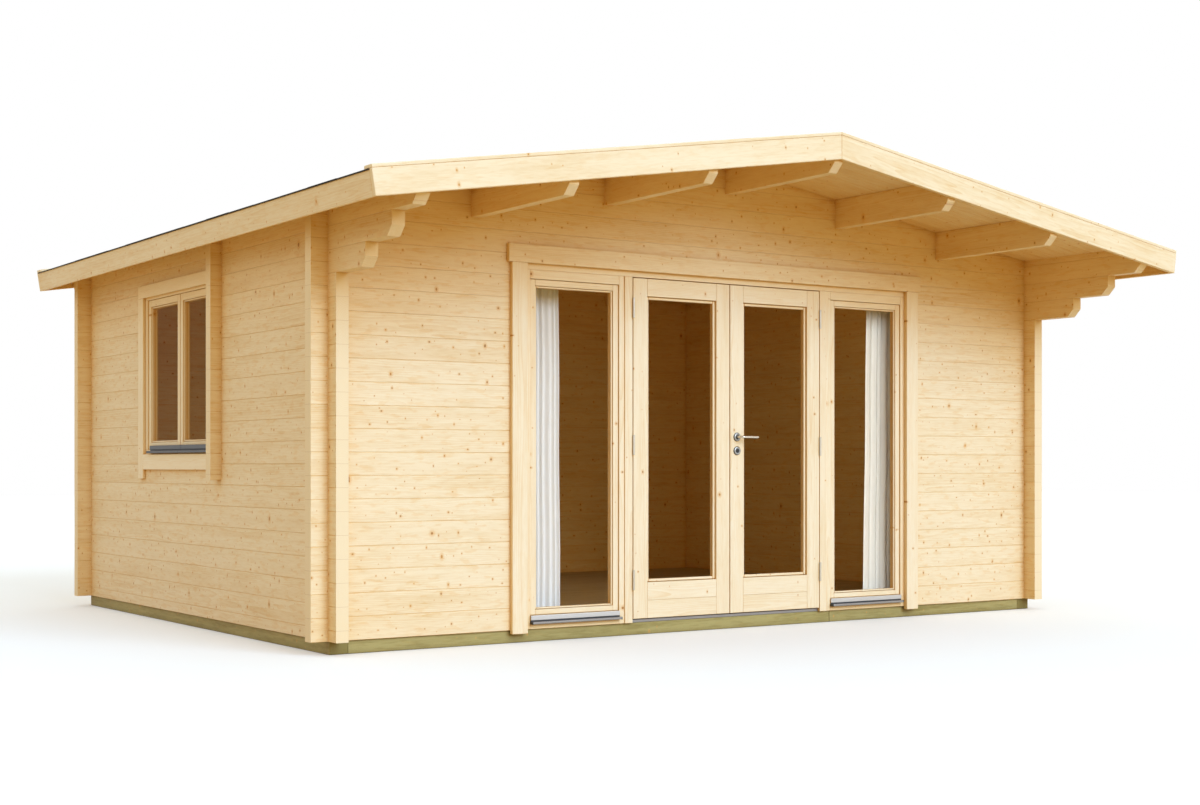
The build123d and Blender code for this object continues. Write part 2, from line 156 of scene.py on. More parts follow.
def noise(tree, vector, scale, detail=2.0):
    inputs = {"Vector": vector, "Scale": scale, "Detail": detail}
    return add_node(tree, "ShaderNodeTexNoise", inputs).outputs[0]


def bump(tree, height, distance, strength=1.0):
    inputs = {"Height": height, "Distance": distance, "Strength": strength}
    return add_node(tree, "ShaderNodeBump", inputs).outputs[0]


def new_group(name, inputs, outputs):
    group = bpy.data.node_groups.new(name, "ShaderNodeTree")
    for label, kind, value in inputs:
        socket = group.interface.new_socket(label, in_out="INPUT", socket_type=f"NodeSocket{kind}")
        socket.default_value = value
    for label, kind in outputs:
        group.interface.new_socket(label, in_out="OUTPUT", socket_type=f"NodeSocket{kind}")
    given = group.nodes.new("NodeGroupInput").outputs
    result = group.nodes.new("NodeGroupOutput").inputs
    return group, given, result


print("node helpers ready")

# %% [markdown]
# ## Knots
# A knot is where a branch grew: a dark core, a warm ring round it, and grain that swells to pass it. A
# picture texture would repeat, and a Voronoi pattern puts knots across joints. Here each stretch of a log
# draws its own dice for whether it has a knot, where and how large, so every knot stays inside its log.

# %% The knot group
def make_knot_group():
    group, given, result = new_group(
        "knots",
        [("Along", "Float", 0.0), ("Across", "Float", 0.0), ("Row", "Float", 0.0), ("Spacing", "Float", 0.2),
         ("Room", "Float", 0.09), ("Share", "Float", 0.5), ("Smallest", "Float", 0.003),
         ("Largest", "Float", 0.01)],
        [("Core", "Float"), ("Ring", "Float"), ("Swell", "Float")])
    place = calc(group, "DIVIDE", given["Along"], given["Spacing"])
    cell = calc(group, "FLOOR", place)
    within = calc(group, "FRACT", place)
    dice = add_node(group, "ShaderNodeTexWhiteNoise",
                    {"Vector": point(group, cell, given["Row"], given["Spacing"])})
    draws = add_node(group, "ShaderNodeSeparateColor", {"Color": dice.outputs["Color"]}).outputs
    start = calc(group, "MULTIPLY_ADD", draws[0], 0.7, 0.15)
    along = calc(group, "MULTIPLY", calc(group, "SUBTRACT", within, start), given["Spacing"])
    height = calc(group, "MULTIPLY", calc(group, "SUBTRACT", draws[1], 0.5), given["Room"])
    across = calc(group, "SUBTRACT", given["Across"], height)
    spread = calc(group, "SUBTRACT", given["Largest"], given["Smallest"])
    size = calc(group, "MULTIPLY_ADD", calc(group, "POWER", draws[2], 2.5), spread, given["Smallest"])
    fourth_draw = calc(group, "FRACT", calc(group, "MULTIPLY", draws[0], 7.3))
    stretch = calc(group, "MULTIPLY_ADD", fourth_draw, 1.1, 0.6)
    squared = calc(group, "ADD", calc(group, "POWER", calc(group, "ABSOLUTE", along), 2.0),
                   calc(group, "POWER", calc(group, "ABSOLUTE", calc(group, "DIVIDE", across, stretch)), 2.0))
    apart = calc(group, "DIVIDE", calc(group, "SQRT", squared), size)
    uneven = noise(group, point(group, along, across, cell), 90.0)
    apart = calc(group, "MULTIPLY_ADD", calc(group, "SUBTRACT", uneven, 0.5), 0.7, apart)
    present = calc(group, "LESS_THAN", dice.outputs["Value"], given["Share"])
    for name, outer, inner in (("Core", 1.15, 0.7), ("Ring", 3.6, 0.9)):
        group.links.new(calc(group, "MULTIPLY", present, soft_step(group, apart, outer, inner)), result[name])
    swell = calc(group, "MULTIPLY", soft_step(group, apart, 5.0, 0.0), calc(group, "MULTIPLY", size, present))
    group.links.new(swell, result["Swell"])
    return group


knots = make_knot_group()
print("knot group with", len(knots.nodes), "nodes")

# %% [markdown]
# ## Spruce
# A board is a slice of a trunk, so its lines are growth rings round a pith that lies somewhere in or near
# it. A stretched noise only gives streaks. Here each board gets a pith of its own, the distance from it is
# cut into rings that bend past the knots, and long streaks, fine fibres and a soft blush go over that. The
# same sum gives arcs on a sawn end. On a wall, the height tells which log a point is on, and a thin line
# marks the joint to the next log.

# %% The spruce group
blush_tint = (0.94, 0.80, 0.58, 1)
knot_ring, knot_red, knot_dark = (0.74, 0.42, 0.12, 1), (0.62, 0.30, 0.07, 1), (0.34, 0.135, 0.03, 1)
joint_shade = (0.52, 0.30, 0.10, 1)


def make_spruce_group():
    group, given, result = new_group(
        "spruce",
        [("Vector", "Vector", (0, 0, 0)), ("Normal", "Vector", (0, 0, 1)), ("Board", "Float", 0.0),
         ("Course Height", "Float", 0.121), ("First Course", "Float", 0.07), ("Is Log", "Float", 0.0),
         ("Knots", "Float", 0.5), ("Joint Width", "Float", 0.0), ("Pale", "Color", (1, 1, 1, 1)),
         ("Warm", "Color", (1, 1, 1, 1)), ("Late Wood", "Color", (1, 1, 1, 1)),
         ("End Grain", "Color", (1, 1, 1, 1))],
        [("Color", "Color"), ("Roughness", "Float"), ("Height", "Float")])
    parts = add_node(group, "ShaderNodeSeparateXYZ", {"Vector": given["Vector"]}).outputs
    course = calc(group, "DIVIDE", calc(group, "SUBTRACT", parts[2], given["First Course"]),
                  given["Course Height"])
    row = calc(group, "FLOOR", course)
    within = calc(group, "SUBTRACT", calc(group, "FRACT", course), 0.5)
    local = calc(group, "MULTIPLY", within, given["Course Height"])
    seed = calc(group, "MULTIPLY_ADD", row, given["Is Log"], given["Board"])
    dice = add_node(group, "ShaderNodeTexWhiteNoise",
                    {"Vector": point(group, seed, 3.7, 1.9)})
    draws = add_node(group, "ShaderNodeSeparateColor", {"Color": dice.outputs["Color"]}).outputs
    along = calc(group, "MULTIPLY_ADD", draws[0], 23.0, parts[0])

    # small knots close together and large ones far apart
    room = calc(group, "MULTIPLY", given["Course Height"], 0.78)
    layers = []
    for spacing, smallest, largest, share in ((0.055, 0.0013, 0.0042, 1.0), (0.29, 0.0034, 0.0075, 0.75)):
        values = {"Along": along, "Across": local, "Row": calc(group, "ADD", seed, row), "Spacing": spacing,
                  "Room": room, "Share": calc(group, "MULTIPLY", given["Knots"], share),
                  "Smallest": smallest, "Largest": largest}
        layers.append(add_node(group, "ShaderNodeGroup", values, node_tree=knots).outputs)
    core, ring, swell = [calc(group, way, *[layer[name] for layer in layers])
                         for way, name in (("MAXIMUM", "Core"), ("MAXIMUM", "Ring"), ("ADD", "Swell"))]

    # growth rings round the pith
    board_across = calc(group, "MULTIPLY_ADD", draws[1], 0.4, parts[2])
    board_depth = calc(group, "MULTIPLY_ADD", draws[2], 0.4, parts[1])
    folded = [calc(group, "SUBTRACT", calc(group, "PINGPONG", value, 0.11), 0.02)
              for value in (board_across, board_depth)]
    squares = [calc(group, "MULTIPLY", value, value) for value in folded]
    radius = calc(group, "SQRT", calc(group, "ADD", *squares))
    bend = noise(group, point(group, along, calc(group, "MULTIPLY", parts[2], 4.0), seed), 0.9)
    radius = calc(group, "MULTIPLY_ADD", bend, 0.05, radius)
    radius = calc(group, "MULTIPLY_ADD", swell, 0.9, radius)
    ring_width = calc(group, "MULTIPLY_ADD", draws[0], 0.004, 0.0055)
    late = calc(group, "POWER", calc(group, "FRACT", calc(group, "DIVIDE", radius, ring_width)), 2.5)

    # noises stretched along the grain
    grain_space = point(group, calc(group, "MULTIPLY", along, 0.045), parts[1], parts[2])
    streak = noise(group, grain_space, 34.0, 3.0)
    cloud = noise(group, point(group, along, calc(group, "MULTIPLY", parts[2], 5.0), seed), 1.7)
    fleck_space = point(group, calc(group, "MULTIPLY", along, 0.12), parts[1], parts[2])
    fleck = noise(group, fleck_space, 95.0, 2.0)
    fibre_space = point(group, calc(group, "MULTIPLY", along, 0.02), parts[1], parts[2])
    fibre = noise(group, fibre_space, 520.0, 1.0)

    # colour from pale to warm, then rings, fibres, blush and knots over it
    tone = calc(group, "MULTIPLY_ADD", dice.outputs["Value"], 0.20, -0.14)
    tone = calc(group, "MULTIPLY_ADD", soft_step(group, streak, 0.35, 0.75), 0.42, tone)
    tone = calc(group, "MULTIPLY_ADD", soft_step(group, cloud, 0.45, 0.8), 0.45, tone)
    tone = calc(group, "MULTIPLY_ADD", soft_step(group, fleck, 0.42, 0.70), 0.40, tone)
    colour = mix_colour(group, tone, given["Pale"], given["Warm"])
    contrast = calc(group, "MULTIPLY", late, soft_step(group, cloud, 0.2, 0.7, 0.12, 0.5))
    colour = mix_colour(group, contrast, colour, given["Late Wood"], "MULTIPLY")
    colour = mix_colour(group, calc(group, "MULTIPLY", soft_step(group, fibre, 0.5, 0.8), 0.10), colour,
                        given["Late Wood"], "MULTIPLY")
    blush_along = calc(group, "MULTIPLY", along, 0.7)
    blush_space = point(group, blush_along, calc(group, "MULTIPLY", parts[2], 2.4), seed)
    blush = soft_step(group, noise(group, blush_space, 15.0, 3.0), 0.53, 0.66)
    blush = calc(group, "MULTIPLY", blush, calc(group, "MULTIPLY", given["Knots"], 0.75))
    colour = mix_colour(group, blush, colour, blush_tint, "MULTIPLY")
    colour = mix_colour(group, calc(group, "MULTIPLY", ring, 0.52), colour, knot_ring)
    core_colour = mix_colour(group, uneven_share(group, along), knot_red, knot_dark)
    colour = mix_colour(group, calc(group, "MULTIPLY", core, 0.92), colour, core_colour)

    # sawn ends, and the joint between two logs
    facing = add_node(group, "ShaderNodeSeparateXYZ", {"Vector": given["Normal"]}).outputs[0]
    sawn = soft_step(group, calc(group, "ABSOLUTE", facing), 0.6, 0.8)
    end_colour = mix_colour(group, calc(group, "MULTIPLY", late, 0.25), given["End Grain"],
                            given["Late Wood"], "MULTIPLY")
    colour = mix_colour(group, sawn, colour, end_colour)
    edge = calc(group, "SUBTRACT", 0.5, calc(group, "ABSOLUTE", within))
    gap = calc(group, "MULTIPLY", edge, given["Course Height"])
    joint = soft_step(group, gap, given["Joint Width"], 0.0)
    joint = calc(group, "MULTIPLY", joint, calc(group, "GREATER_THAN", given["Joint Width"], 0.0))
    joint_share = calc(group, "MULTIPLY", joint, calc(group, "MULTIPLY_ADD", sawn, 0.45, 0.20))
    colour = mix_colour(group, joint_share, colour, joint_shade)
    group.links.new(colour, result["Color"])
    rough = calc(group, "MULTIPLY_ADD", fibre, 0.18, 0.46)
    group.links.new(calc(group, "MULTIPLY_ADD", late, 0.06, rough), result["Roughness"])
    relief = calc(group, "MULTIPLY_ADD", late, -0.35, calc(group, "MULTIPLY", fibre, 0.5))
    group.links.new(calc(group, "MULTIPLY_ADD", core, -0.4, relief), result["Height"])
    return group


def uneven_share(tree, along):
    return soft_step(tree, noise(tree, point(tree, along), 5.0), 0.4, 0.6)


spruce = make_spruce_group()
print("spruce group with", len(spruce.nodes), "nodes")

# %% [markdown]
# ## Timber finishes
# The same spruce runs across the front, to the back, upright, or down the roof slope, so each direction is
# a material of its own with the grain turned to suit. A Mapping node turns the Object coordinates: its rows
# are the direction of the grain, the depth and the direction in which the courses or boards follow each
# other. Every separate board also carries a number, so that no two look alike. In corners and under the roof
# the base colour is made deeper and warmer as painted shade, standing for light there that has already met
# other wood. An ambient occlusion node finds such places: a short reach for the corners, and a longer one,
# tilted upward, for what the roof shelters.

# %% Timber materials
east, north, up = Vector((1, 0, 0)), Vector((0, 1, 0)), Vector((0, 0, 1))
log_pitch = 0.121
pale_spruce = (0.90, 0.79, 0.595, 1)
warm_spruce = (0.82, 0.66, 0.42, 1)
late_wood = (0.88, 0.72, 0.48, 1)
end_grain = (0.885, 0.755, 0.535, 1)
pale_joinery = (0.915, 0.815, 0.635, 1)
warm_joinery = (0.865, 0.725, 0.505, 1)
pale_trim, warm_trim = (0.97, 0.885, 0.72, 1), (0.93, 0.82, 0.63, 1)
# The floor boards are darker and greyer than the spruce elsewhere, as painted shade for the dim room
floor_pale_shaded, floor_warm_shaded = (0.46, 0.42, 0.37, 1), (0.31, 0.275, 0.235, 1)
green_pale = (0.43, 0.375, 0.155, 1)
green_warm = (0.27, 0.225, 0.07, 1)
bump_depth, bump_strength = 0.0006, 0.5
timber_shine = 0.3
# Painted shade in corners, joints and gaps: how far the occlusion looks, where it starts and ends, and its
# tints
corner_reach, corner_shut, corner_open = 0.07, 0.10, 0.78
golden_corner_shade, green_corner_shade = (0.78, 0.58, 0.32, 1), (0.42, 0.34, 0.20, 1)
# Painted shade under the roof: reach, thresholds and upward tilt of the long occlusion, and its warm tint
roof_reach, roof_shut, roof_open = 0.9, 0.42, 0.74
roof_tilt = (0, 0, 0.8)
roof_shade_tint = (1.0, 0.87, 0.62, 1)


def grain_turn(along, across):
    return Matrix((along, across.cross(along), across)).to_euler()


def new_material(name):
    material = bpy.data.materials.new(name)
    material.use_nodes = True
    return material, material.node_tree, material.node_tree.nodes["Principled BSDF"]


def timber(name, along, across, first=0.0, is_log=0.0, amount=0.5, joint=0.0,
           pale=pale_spruce, warm=warm_spruce, end=end_grain, corner=golden_corner_shade):
    material, tree, surface = new_material(name)
    turn = grain_turn(along, across)
    coordinates = add_node(tree, "ShaderNodeTexCoord").outputs
    vector = add_node(tree, "ShaderNodeMapping", {"Vector": coordinates["Object"], "Rotation": turn})
    normal = add_node(tree, "ShaderNodeMapping", {"Vector": coordinates["Normal"], "Rotation": turn},
                      vector_type="VECTOR")
    board = add_node(tree, "ShaderNodeAttribute", attribute_name="board")
    values = {"Vector": vector.outputs[0], "Normal": normal.outputs[0], "Board": board.outputs["Fac"],
              "Course Height": log_pitch, "First Course": first, "Is Log": is_log, "Knots": amount,
              "Joint Width": joint, "Pale": pale, "Warm": warm, "Late Wood": late_wood, "End Grain": end}
    wood = add_node(tree, "ShaderNodeGroup", values, node_tree=spruce)
    # Painted shade: a short ambient occlusion darkens and warms the base colour in corners, joints and gaps
    shelter = add_node(tree, "ShaderNodeAmbientOcclusion", {"Distance": corner_reach}, samples=6)
    colour = wood.outputs["Color"]
    # Painted shade under the roof: a long occlusion, tilted upward, warms the base colour where the roof
    # shelters the wood
    if corner == golden_corner_shade:
        tilted = add_node(tree, "ShaderNodeVectorMath", {0: coordinates["Normal"], 1: roof_tilt},
                          operation="ADD")
        skyward = add_node(tree, "ShaderNodeVectorMath", {0: tilted.outputs[0]}, operation="NORMALIZE")
        roofed = add_node(tree, "ShaderNodeAmbientOcclusion",
                          {"Distance": roof_reach, "Normal": skyward.outputs[0]}, samples=4)
        roof_share = soft_step(tree, roofed.outputs["AO"], roof_open, roof_shut)
        roof_shaded = mix_colour(tree, 1.0, colour, roof_shade_tint, "MULTIPLY")
        colour = mix_colour(tree, roof_share, colour, roof_shaded)
    corner_shaded = mix_colour(tree, 1.0, colour, corner, "MULTIPLY")
    open_share = soft_step(tree, shelter.outputs["AO"], corner_shut, corner_open)
    fill(tree, surface, {"Base Color": mix_colour(tree, open_share, corner_shaded, colour),
                         "Roughness": wood.outputs["Roughness"],
                         "Normal": bump(tree, wood.outputs["Height"], bump_depth, bump_strength),
                         "Specular IOR Level": timber_shine})
    return material


roof_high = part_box("roof_deck_right")[1]
wall_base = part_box("front_wall_left")[0].z
roof_pitch = radians(9)
down_right = Vector((cos(roof_pitch), 0, -sin(roof_pitch)))
down_left = Vector((-cos(roof_pitch), 0, -sin(roof_pitch)))
square_right = Vector((sin(roof_pitch), 0, cos(roof_pitch)))
square_left = Vector((-sin(roof_pitch), 0, cos(roof_pitch)))
log = {"is_log": 1.0, "amount": 0.62, "joint": 0.0013}
joinery = {"pale": pale_joinery, "warm": warm_joinery}
trim = {"pale": pale_trim, "warm": warm_trim}
treated = {"pale": green_pale, "warm": green_warm, "end": green_warm, "corner": green_corner_shade}
finish = {
    "logs_across": timber("spruce_logs_across", east, up, wall_base, **log),
    "logs_to_back": timber("spruce_logs_to_back", north, up, wall_base + log_pitch / 2, **log),
    "board_across": timber("planed_board_across", east, up, amount=0.42),
    "board_to_back": timber("planed_board_to_back", north, up, amount=0.42),
    "board_right": timber("roof_board_right", down_right, square_right, amount=0.3),
    "board_left": timber("roof_board_left", down_left, square_left, amount=0.3),
    "deck_right": timber("deck_board_right", down_right, north, amount=0.4),
    "deck_left": timber("deck_board_left", down_left, north, amount=0.4),
    "floor": timber("floor_board", east, north, amount=0.5, pale=floor_pale_shaded, warm=floor_warm_shaded),
    "joinery_across": timber("joinery_across", east, up, amount=0.12, **joinery),
    "joinery_upright": timber("joinery_upright", up, east, amount=0.16, **joinery),
    "joinery_to_back": timber("joinery_to_back", north, up, amount=0.12, **joinery),
    "trim_upright": timber("window_trim_upright", up, north, amount=0.16, **trim),
    "trim_to_back": timber("window_trim_to_back", north, up, amount=0.12, **trim),
    "treated_across": timber("treated_beam_across", east, up, amount=0.3, **treated),
    "treated_to_back": timber("treated_beam_to_back", north, up, amount=0.3, **treated),
}
print(len(finish), "timber finishes")

# %% [markdown]
# ## Metal, felt, glass and cloth
# Mill-finished aluminium, satin steel and zinc differ in how sharp their reflections are, and fine brushing
# makes that uneven along the piece. Bitumen shingles are dark mineral grit. The glass is clear and lets the
# lamps into the room, because a glass shader alone would leave it black. Light that has come a longer way
# through the room is tinted as if by its wood. The curtain is a plain weave. Photographed textures would
# repeat and blur in a close view, so noise and waves make the unevenness.

# %% Other materials
def brushed_metal(name, colour, rough, along):
    material, tree, surface = new_material(name)
    place = add_node(tree, "ShaderNodeTexCoord").outputs["Object"]
    stretch = add_node(tree, "ShaderNodeMapping", {"Vector": place, "Scale": along})
    lines = noise(tree, stretch.outputs[0], 900.0)
    smudge = noise(tree, place, 14.0)
    uneven = calc(tree, "MULTIPLY_ADD", lines, 0.14, calc(tree, "MULTIPLY_ADD", smudge, 0.12, rough - 0.13))
    tint = mix_colour(tree, lines, [0.86 * part for part in colour] + [1], list(colour) + [1])
    fill(tree, surface, {"Base Color": tint, "Roughness": uneven, "Metallic": 1.0})
    return material


def shingle_felt():
    material, tree, surface = new_material("shingle_felt")
    place = add_node(tree, "ShaderNodeTexCoord").outputs["Object"]
    board = add_node(tree, "ShaderNodeAttribute", attribute_name="board").outputs["Fac"]
    tab = add_node(tree, "ShaderNodeTexWhiteNoise", {"Vector": point(tree, board, 2.0, 5.0)})
    grit = add_node(tree, "ShaderNodeTexVoronoi", {"Vector": place, "Scale": 420.0})
    speck = add_node(tree, "ShaderNodeSeparateColor", {"Color": grit.outputs["Color"]}).outputs[0]
    cloud = noise(tree, place, 3.0, 4.0)
    shade = calc(tree, "MULTIPLY_ADD", speck, 0.5, calc(tree, "MULTIPLY", tab.outputs["Value"], 0.45))
    shade = calc(tree, "MULTIPLY_ADD", cloud, 0.35, shade)
    colour = mix_colour(tree, shade, (0.022, 0.018, 0.015, 1), (0.105, 0.092, 0.08, 1))
    fill(tree, surface, {"Base Color": colour, "Normal": bump(tree, grit.outputs["Distance"], 0.001),
                         "Roughness": soft_step(tree, speck, 0.0, 1.0, 0.8, 0.95)})
    return material


def clear_glass():
    material, tree, surface = new_material("clear_glass")
    fill(tree, surface, {"Base Color": (0.985, 0.985, 0.975, 1), "Roughness": 0.0, "IOR": 1.03,
                         "Transmission Weight": 1.0})
    path = add_node(tree, "ShaderNodeLightPath").outputs
    depth = soft_step(tree, path["Ray Length"], 0.35, 1.6)
    tint = mix_colour(tree, depth, (1.0, 0.98, 0.96, 1), (1.0, 0.76, 0.42, 1))
    through = add_node(tree, "ShaderNodeBsdfTransparent", {"Color": tint})
    lamp = calc(tree, "MAXIMUM", path["Is Shadow Ray"], path["Is Diffuse Ray"])
    mix_shaders(tree, lamp, surface.outputs[0], through.outputs[0], "Material Output")
    return material


def curtain_weave():
    material, tree, surface = new_material("curtain_weave")
    cloth = add_node(tree, "ShaderNodeUVMap", uv_map="cloth").outputs[0]
    threads = [add_node(tree, "ShaderNodeTexWave", {"Vector": cloth, "Scale": 260.0}, bands_direction=way)
               for way in ("X", "Y")]
    weave = calc(tree, "MULTIPLY", threads[0].outputs["Fac"], threads[1].outputs["Fac"])
    slub = noise(tree, cloth, 12.0)
    shade = calc(tree, "MULTIPLY_ADD", slub, 0.6, calc(tree, "MULTIPLY", weave, 0.4))
    colour = mix_colour(tree, shade, (0.88, 0.885, 0.895, 1), (0.95, 0.955, 0.96, 1))
    fill(tree, surface, {"Base Color": colour, "Normal": bump(tree, weave, 0.0004), "Roughness": 0.85,
                         "Sheen Weight": 0.25})
    return material


def enamel(name, colour, rough):
    material, tree, surface = new_material(name)
    place = add_node(tree, "ShaderNodeTexCoord").outputs["Object"]
    orange_peel = noise(tree, place, 260.0)
    worn = [0.92 * part for part in colour]
    coat = mix_colour(tree, noise(tree, place, 9.0), worn + [1], list(colour) + [1])
    fill(tree, surface, {"Base Color": coat, "Normal": bump(tree, orange_peel, 0.0003), "Roughness": rough})
    return material


across_stretch, round_stretch = (0.02, 1, 1), (1, 1, 0.05)
finish.update({
    "aluminium": brushed_metal("satin_aluminium", (0.62, 0.575, 0.52), 0.45, across_stretch),
    # Darker copies of aluminium stand as painted shade: one for the sill noses and the threshold, a deeper
    # one for the side window's sill
    "dull_aluminium": brushed_metal("dull_aluminium", (0.34, 0.305, 0.27), 0.5, across_stretch),
    "deep_shade_aluminium": brushed_metal("deep_shade_aluminium", (0.13, 0.125, 0.12), 0.5, round_stretch),
    "steel": brushed_metal("satin_steel", (0.72, 0.65, 0.54), 0.26, across_stretch),
    "rose_steel": brushed_metal("rose_steel", (0.42, 0.385, 0.335), 0.34, across_stretch),
    "zinc": brushed_metal("zinc_plate", (0.66, 0.58, 0.46), 0.42, round_stretch),
    "felt": shingle_felt(),
    "glass": clear_glass(),
    "cloth": curtain_weave(),
    "white_paint": enamel("white_rail_paint", (0.80, 0.80, 0.80), 0.35),
    # Dark end caps are real; the same dark finish also stands as painted shadow in the sill groove, round the
    # lever neck and in the keyhole
    "dark_plastic_and_painted_shadow": enamel("dark_end_cap_and_painted_shadow", (0.035, 0.036, 0.04), 0.5),
    # Dark steel for the lock cylinders, and as painted shade on the rims of the roses
    "dark_steel_and_painted_shade": brushed_metal("dark_steel_and_painted_shade", (0.07, 0.062, 0.052), 0.4, across_stretch),
})
print(len(finish), "finishes in all")

# %% [markdown]
# ## Words for making pieces
# Most of a cabin is boards, so one helper adds a board with eased edges to a mesh, and another copies a
# node of the construction, welds its loose triangles and eases its corners. Planed timber always has its
# sharp edges taken off, and the small rounding catches the light. Each piece rides on a body of the
# construction, and names the nodes that it stands for.

# %% Modelling helpers
weld_distance = 0.00002
flat_angle, corner_angle = radians(1), radians(25)
smooth_angle = radians(32)
highest_number = 400
dice = random.Random(17)


def ease_edges(shape, edges, width, segments=2):
    bmesh.ops.bevel(shape, geom=edges, offset=width, offset_type="OFFSET", segments=segments, profile=0.5,
                    affect="EDGES", clamp_overlap=True, material=-1)


def sharp_edges(shape):
    return [edge for edge in shape.edges
            if len(edge.link_faces) == 2 and edge.calc_face_angle() > corner_angle]


def finish_faces(shape, first_face, finish_index):
    shape.faces.ensure_lookup_table()
    for face in shape.faces[first_face:]:
        face.material_index = finish_index


def add_board(shape, low, high, ease=0.002, place=None, finish_index=0, segments=2):
    first_face = len(shape.faces)
    low, high = Vector(low), Vector(high)
    corners = bmesh.ops.create_cube(shape, size=1)["verts"]
    bmesh.ops.scale(shape, vec=high - low, verts=corners)
    bmesh.ops.translate(shape, vec=(low + high) / 2, verts=corners)
    if place is not None:
        bmesh.ops.transform(shape, matrix=place, verts=corners)
    ease_edges(shape, list({edge for corner in corners for edge in corner.link_edges}), ease, segments)
    finish_faces(shape, first_face, finish_index)


def number_boards(shape):
    layer = shape.faces.layers.float.get("board") or shape.faces.layers.float.new("board")
    waiting = set(shape.faces)
    for seed_face in list(shape.faces):
        if seed_face not in waiting:
            continue
        number = dice.uniform(0, highest_number)
        edge_of_search = [seed_face]
        waiting.discard(seed_face)
        while edge_of_search:
            face = edge_of_search.pop()
            face[layer] = number
            for near in {other for edge in face.edges for other in edge.link_faces} & waiting:
                waiting.discard(near)
                edge_of_search.append(near)


def finish_piece(name, shape, body, finishes, stands_for=(), smooth=False):
    number_boards(shape)
    for face in shape.faces:
        face.smooth = smooth
    mesh = bpy.data.meshes.new(name)
    shape.to_mesh(mesh)
    shape.free()
    if smooth:
        mesh.set_sharp_from_angle(angle=smooth_angle)
    piece = add_object(name, mesh)
    for label in [finishes] if isinstance(finishes, str) else finishes:
        mesh.materials.append(finish[label])
    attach(piece, body)
    if stands_for:
        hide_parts(*stands_for)
    return piece


def eased_copy(node, ease, label, body="cabin"):
    shape = bmesh.new()
    shape.from_mesh(nodes[node].data)
    bmesh.ops.remove_doubles(shape, verts=shape.verts, dist=weld_distance)
    bmesh.ops.dissolve_limit(shape, angle_limit=flat_angle, verts=shape.verts, edges=shape.edges)
    ease_edges(shape, sharp_edges(shape), ease)
    return finish_piece(f"{node}_eased", shape, body, label, [node])


print("modelling helpers ready")

# %% [markdown]
# ## Log walls
# The walls, with their V joints and the notched crossings at the corners, are already right in the
# construction, so they only get their finish: logs across for the front and the back, logs to the back for
# the sides. A node of the construction keeps its own mesh, and the material goes into its slot. The panes get
# their glass here too.

# %% Finish the log walls
def dress(label, *names):
    for name in names:
        mesh = nodes[name].data
        mesh.materials.clear()
        mesh.materials.append(finish[label])


cross_logs = ["front_wall_left", "front_wall_right", "front_gable", "rear_wall", "window_brace"]
side_logs = [name for name in nodes if name.startswith(("left_", "right_"))]
panes = ["fixed_glass", "door_glass_left", "door_glass_right"]
dress("logs_across", *cross_logs)
dress("logs_to_back", *side_logs)
dress("glass", *panes)
print("dressed", len(cross_logs) + len(side_logs), "log nodes and", len(panes), "glass nodes")

# %% [markdown]
# ## Base beams and floor
# The cabin stands on pressure-treated beams, whose greenish tint comes from the salts in them. The long
# beams are two lengths butted together. The floor is tongued boards laid across the cabin. Lines on one flat
# slab could draw the joints, but separate boards with eased edges catch the light at each joint.

# %% Lay the base beams and the floor boards
front_beam_joint = 0.80
beam_gap = 0.0015
beam_ease = 0.003
floor_board_width = 0.121
floor_ease = 0.0015
board_gap = 0.0008


def board_spans(start, stop, width):
    """Where each board starts and ends in y, with a gap to the next one."""
    spans = []
    while start < stop - weld_distance:
        end = min(start + width, stop)
        spans.append((start, end - board_gap))
        start = end
    return spans


def base_beams():
    low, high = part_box("base_beams_long")
    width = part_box("base_beams_side")[1].x - high.x
    shape = bmesh.new()
    for y in (low.y, high.y - width):
        for x_from, x_to in ((low.x, front_beam_joint - beam_gap), (front_beam_joint, high.x)):
            add_board(shape, (x_from, y, low.z), (x_to, y + width, high.z), beam_ease)
    finish_piece("base_beams_front_and_rear", shape, "cabin", "treated_across",
                 ["base_beams_long"])
    eased_copy("base_beams_side", beam_ease, "treated_to_back")


def floor_boards():
    low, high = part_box("floor_deck")
    shape = bmesh.new()
    for y_from, y_to in board_spans(low.y, high.y, floor_board_width):
        add_board(shape, (low.x, y_from, low.z), (high.x, y_to, high.z), floor_ease)
    finish_piece("floor_boards", shape, "cabin", "floor", ["floor_deck"])


base_beams()
floor_boards()
print("base beams and floor boards laid")

# %% [markdown]
# ## Roof boards, purlins and edge boards
# Boards lie side by side from the ridge to the eave, with a small V at each joint, and show from under the
# canopy. They are drawn flat and tipped to the roof slope with one matrix a side, and so are the fascias,
# which close the eaves square to the slope. Purlins, barge boards and verge strips keep their shape from the
# construction with eased edges.

# %% Board the roof
deck_thickness = 0.020
deck_board_width = 0.096
deck_ease, fascia_ease, purlin_ease, barge_ease, verge_ease = 0.002, 0.0025, 0.003, 0.004, 0.0035
ridge_height = roof_high.z - deck_thickness / cos(roof_pitch)
barge_low, barge_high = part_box("barge_boards_right")
barge_rise = (barge_high.z - ridge_height) * cos(roof_pitch)
eave_run = (barge_high.x - barge_rise * sin(roof_pitch)) / cos(roof_pitch)
barge_drop = (ridge_height - eave_run * sin(roof_pitch) - barge_low.z) / cos(roof_pitch)


def slope_place(side, lift=0.0):
    return (Matrix.Translation((0, 0, ridge_height)) @ Matrix.Rotation(side * roof_pitch, 4, "Y")
            @ Matrix.Translation((0, 0, lift)))


def deck_run():
    return roof_high.x / cos(roof_pitch) - deck_thickness * tan(roof_pitch)


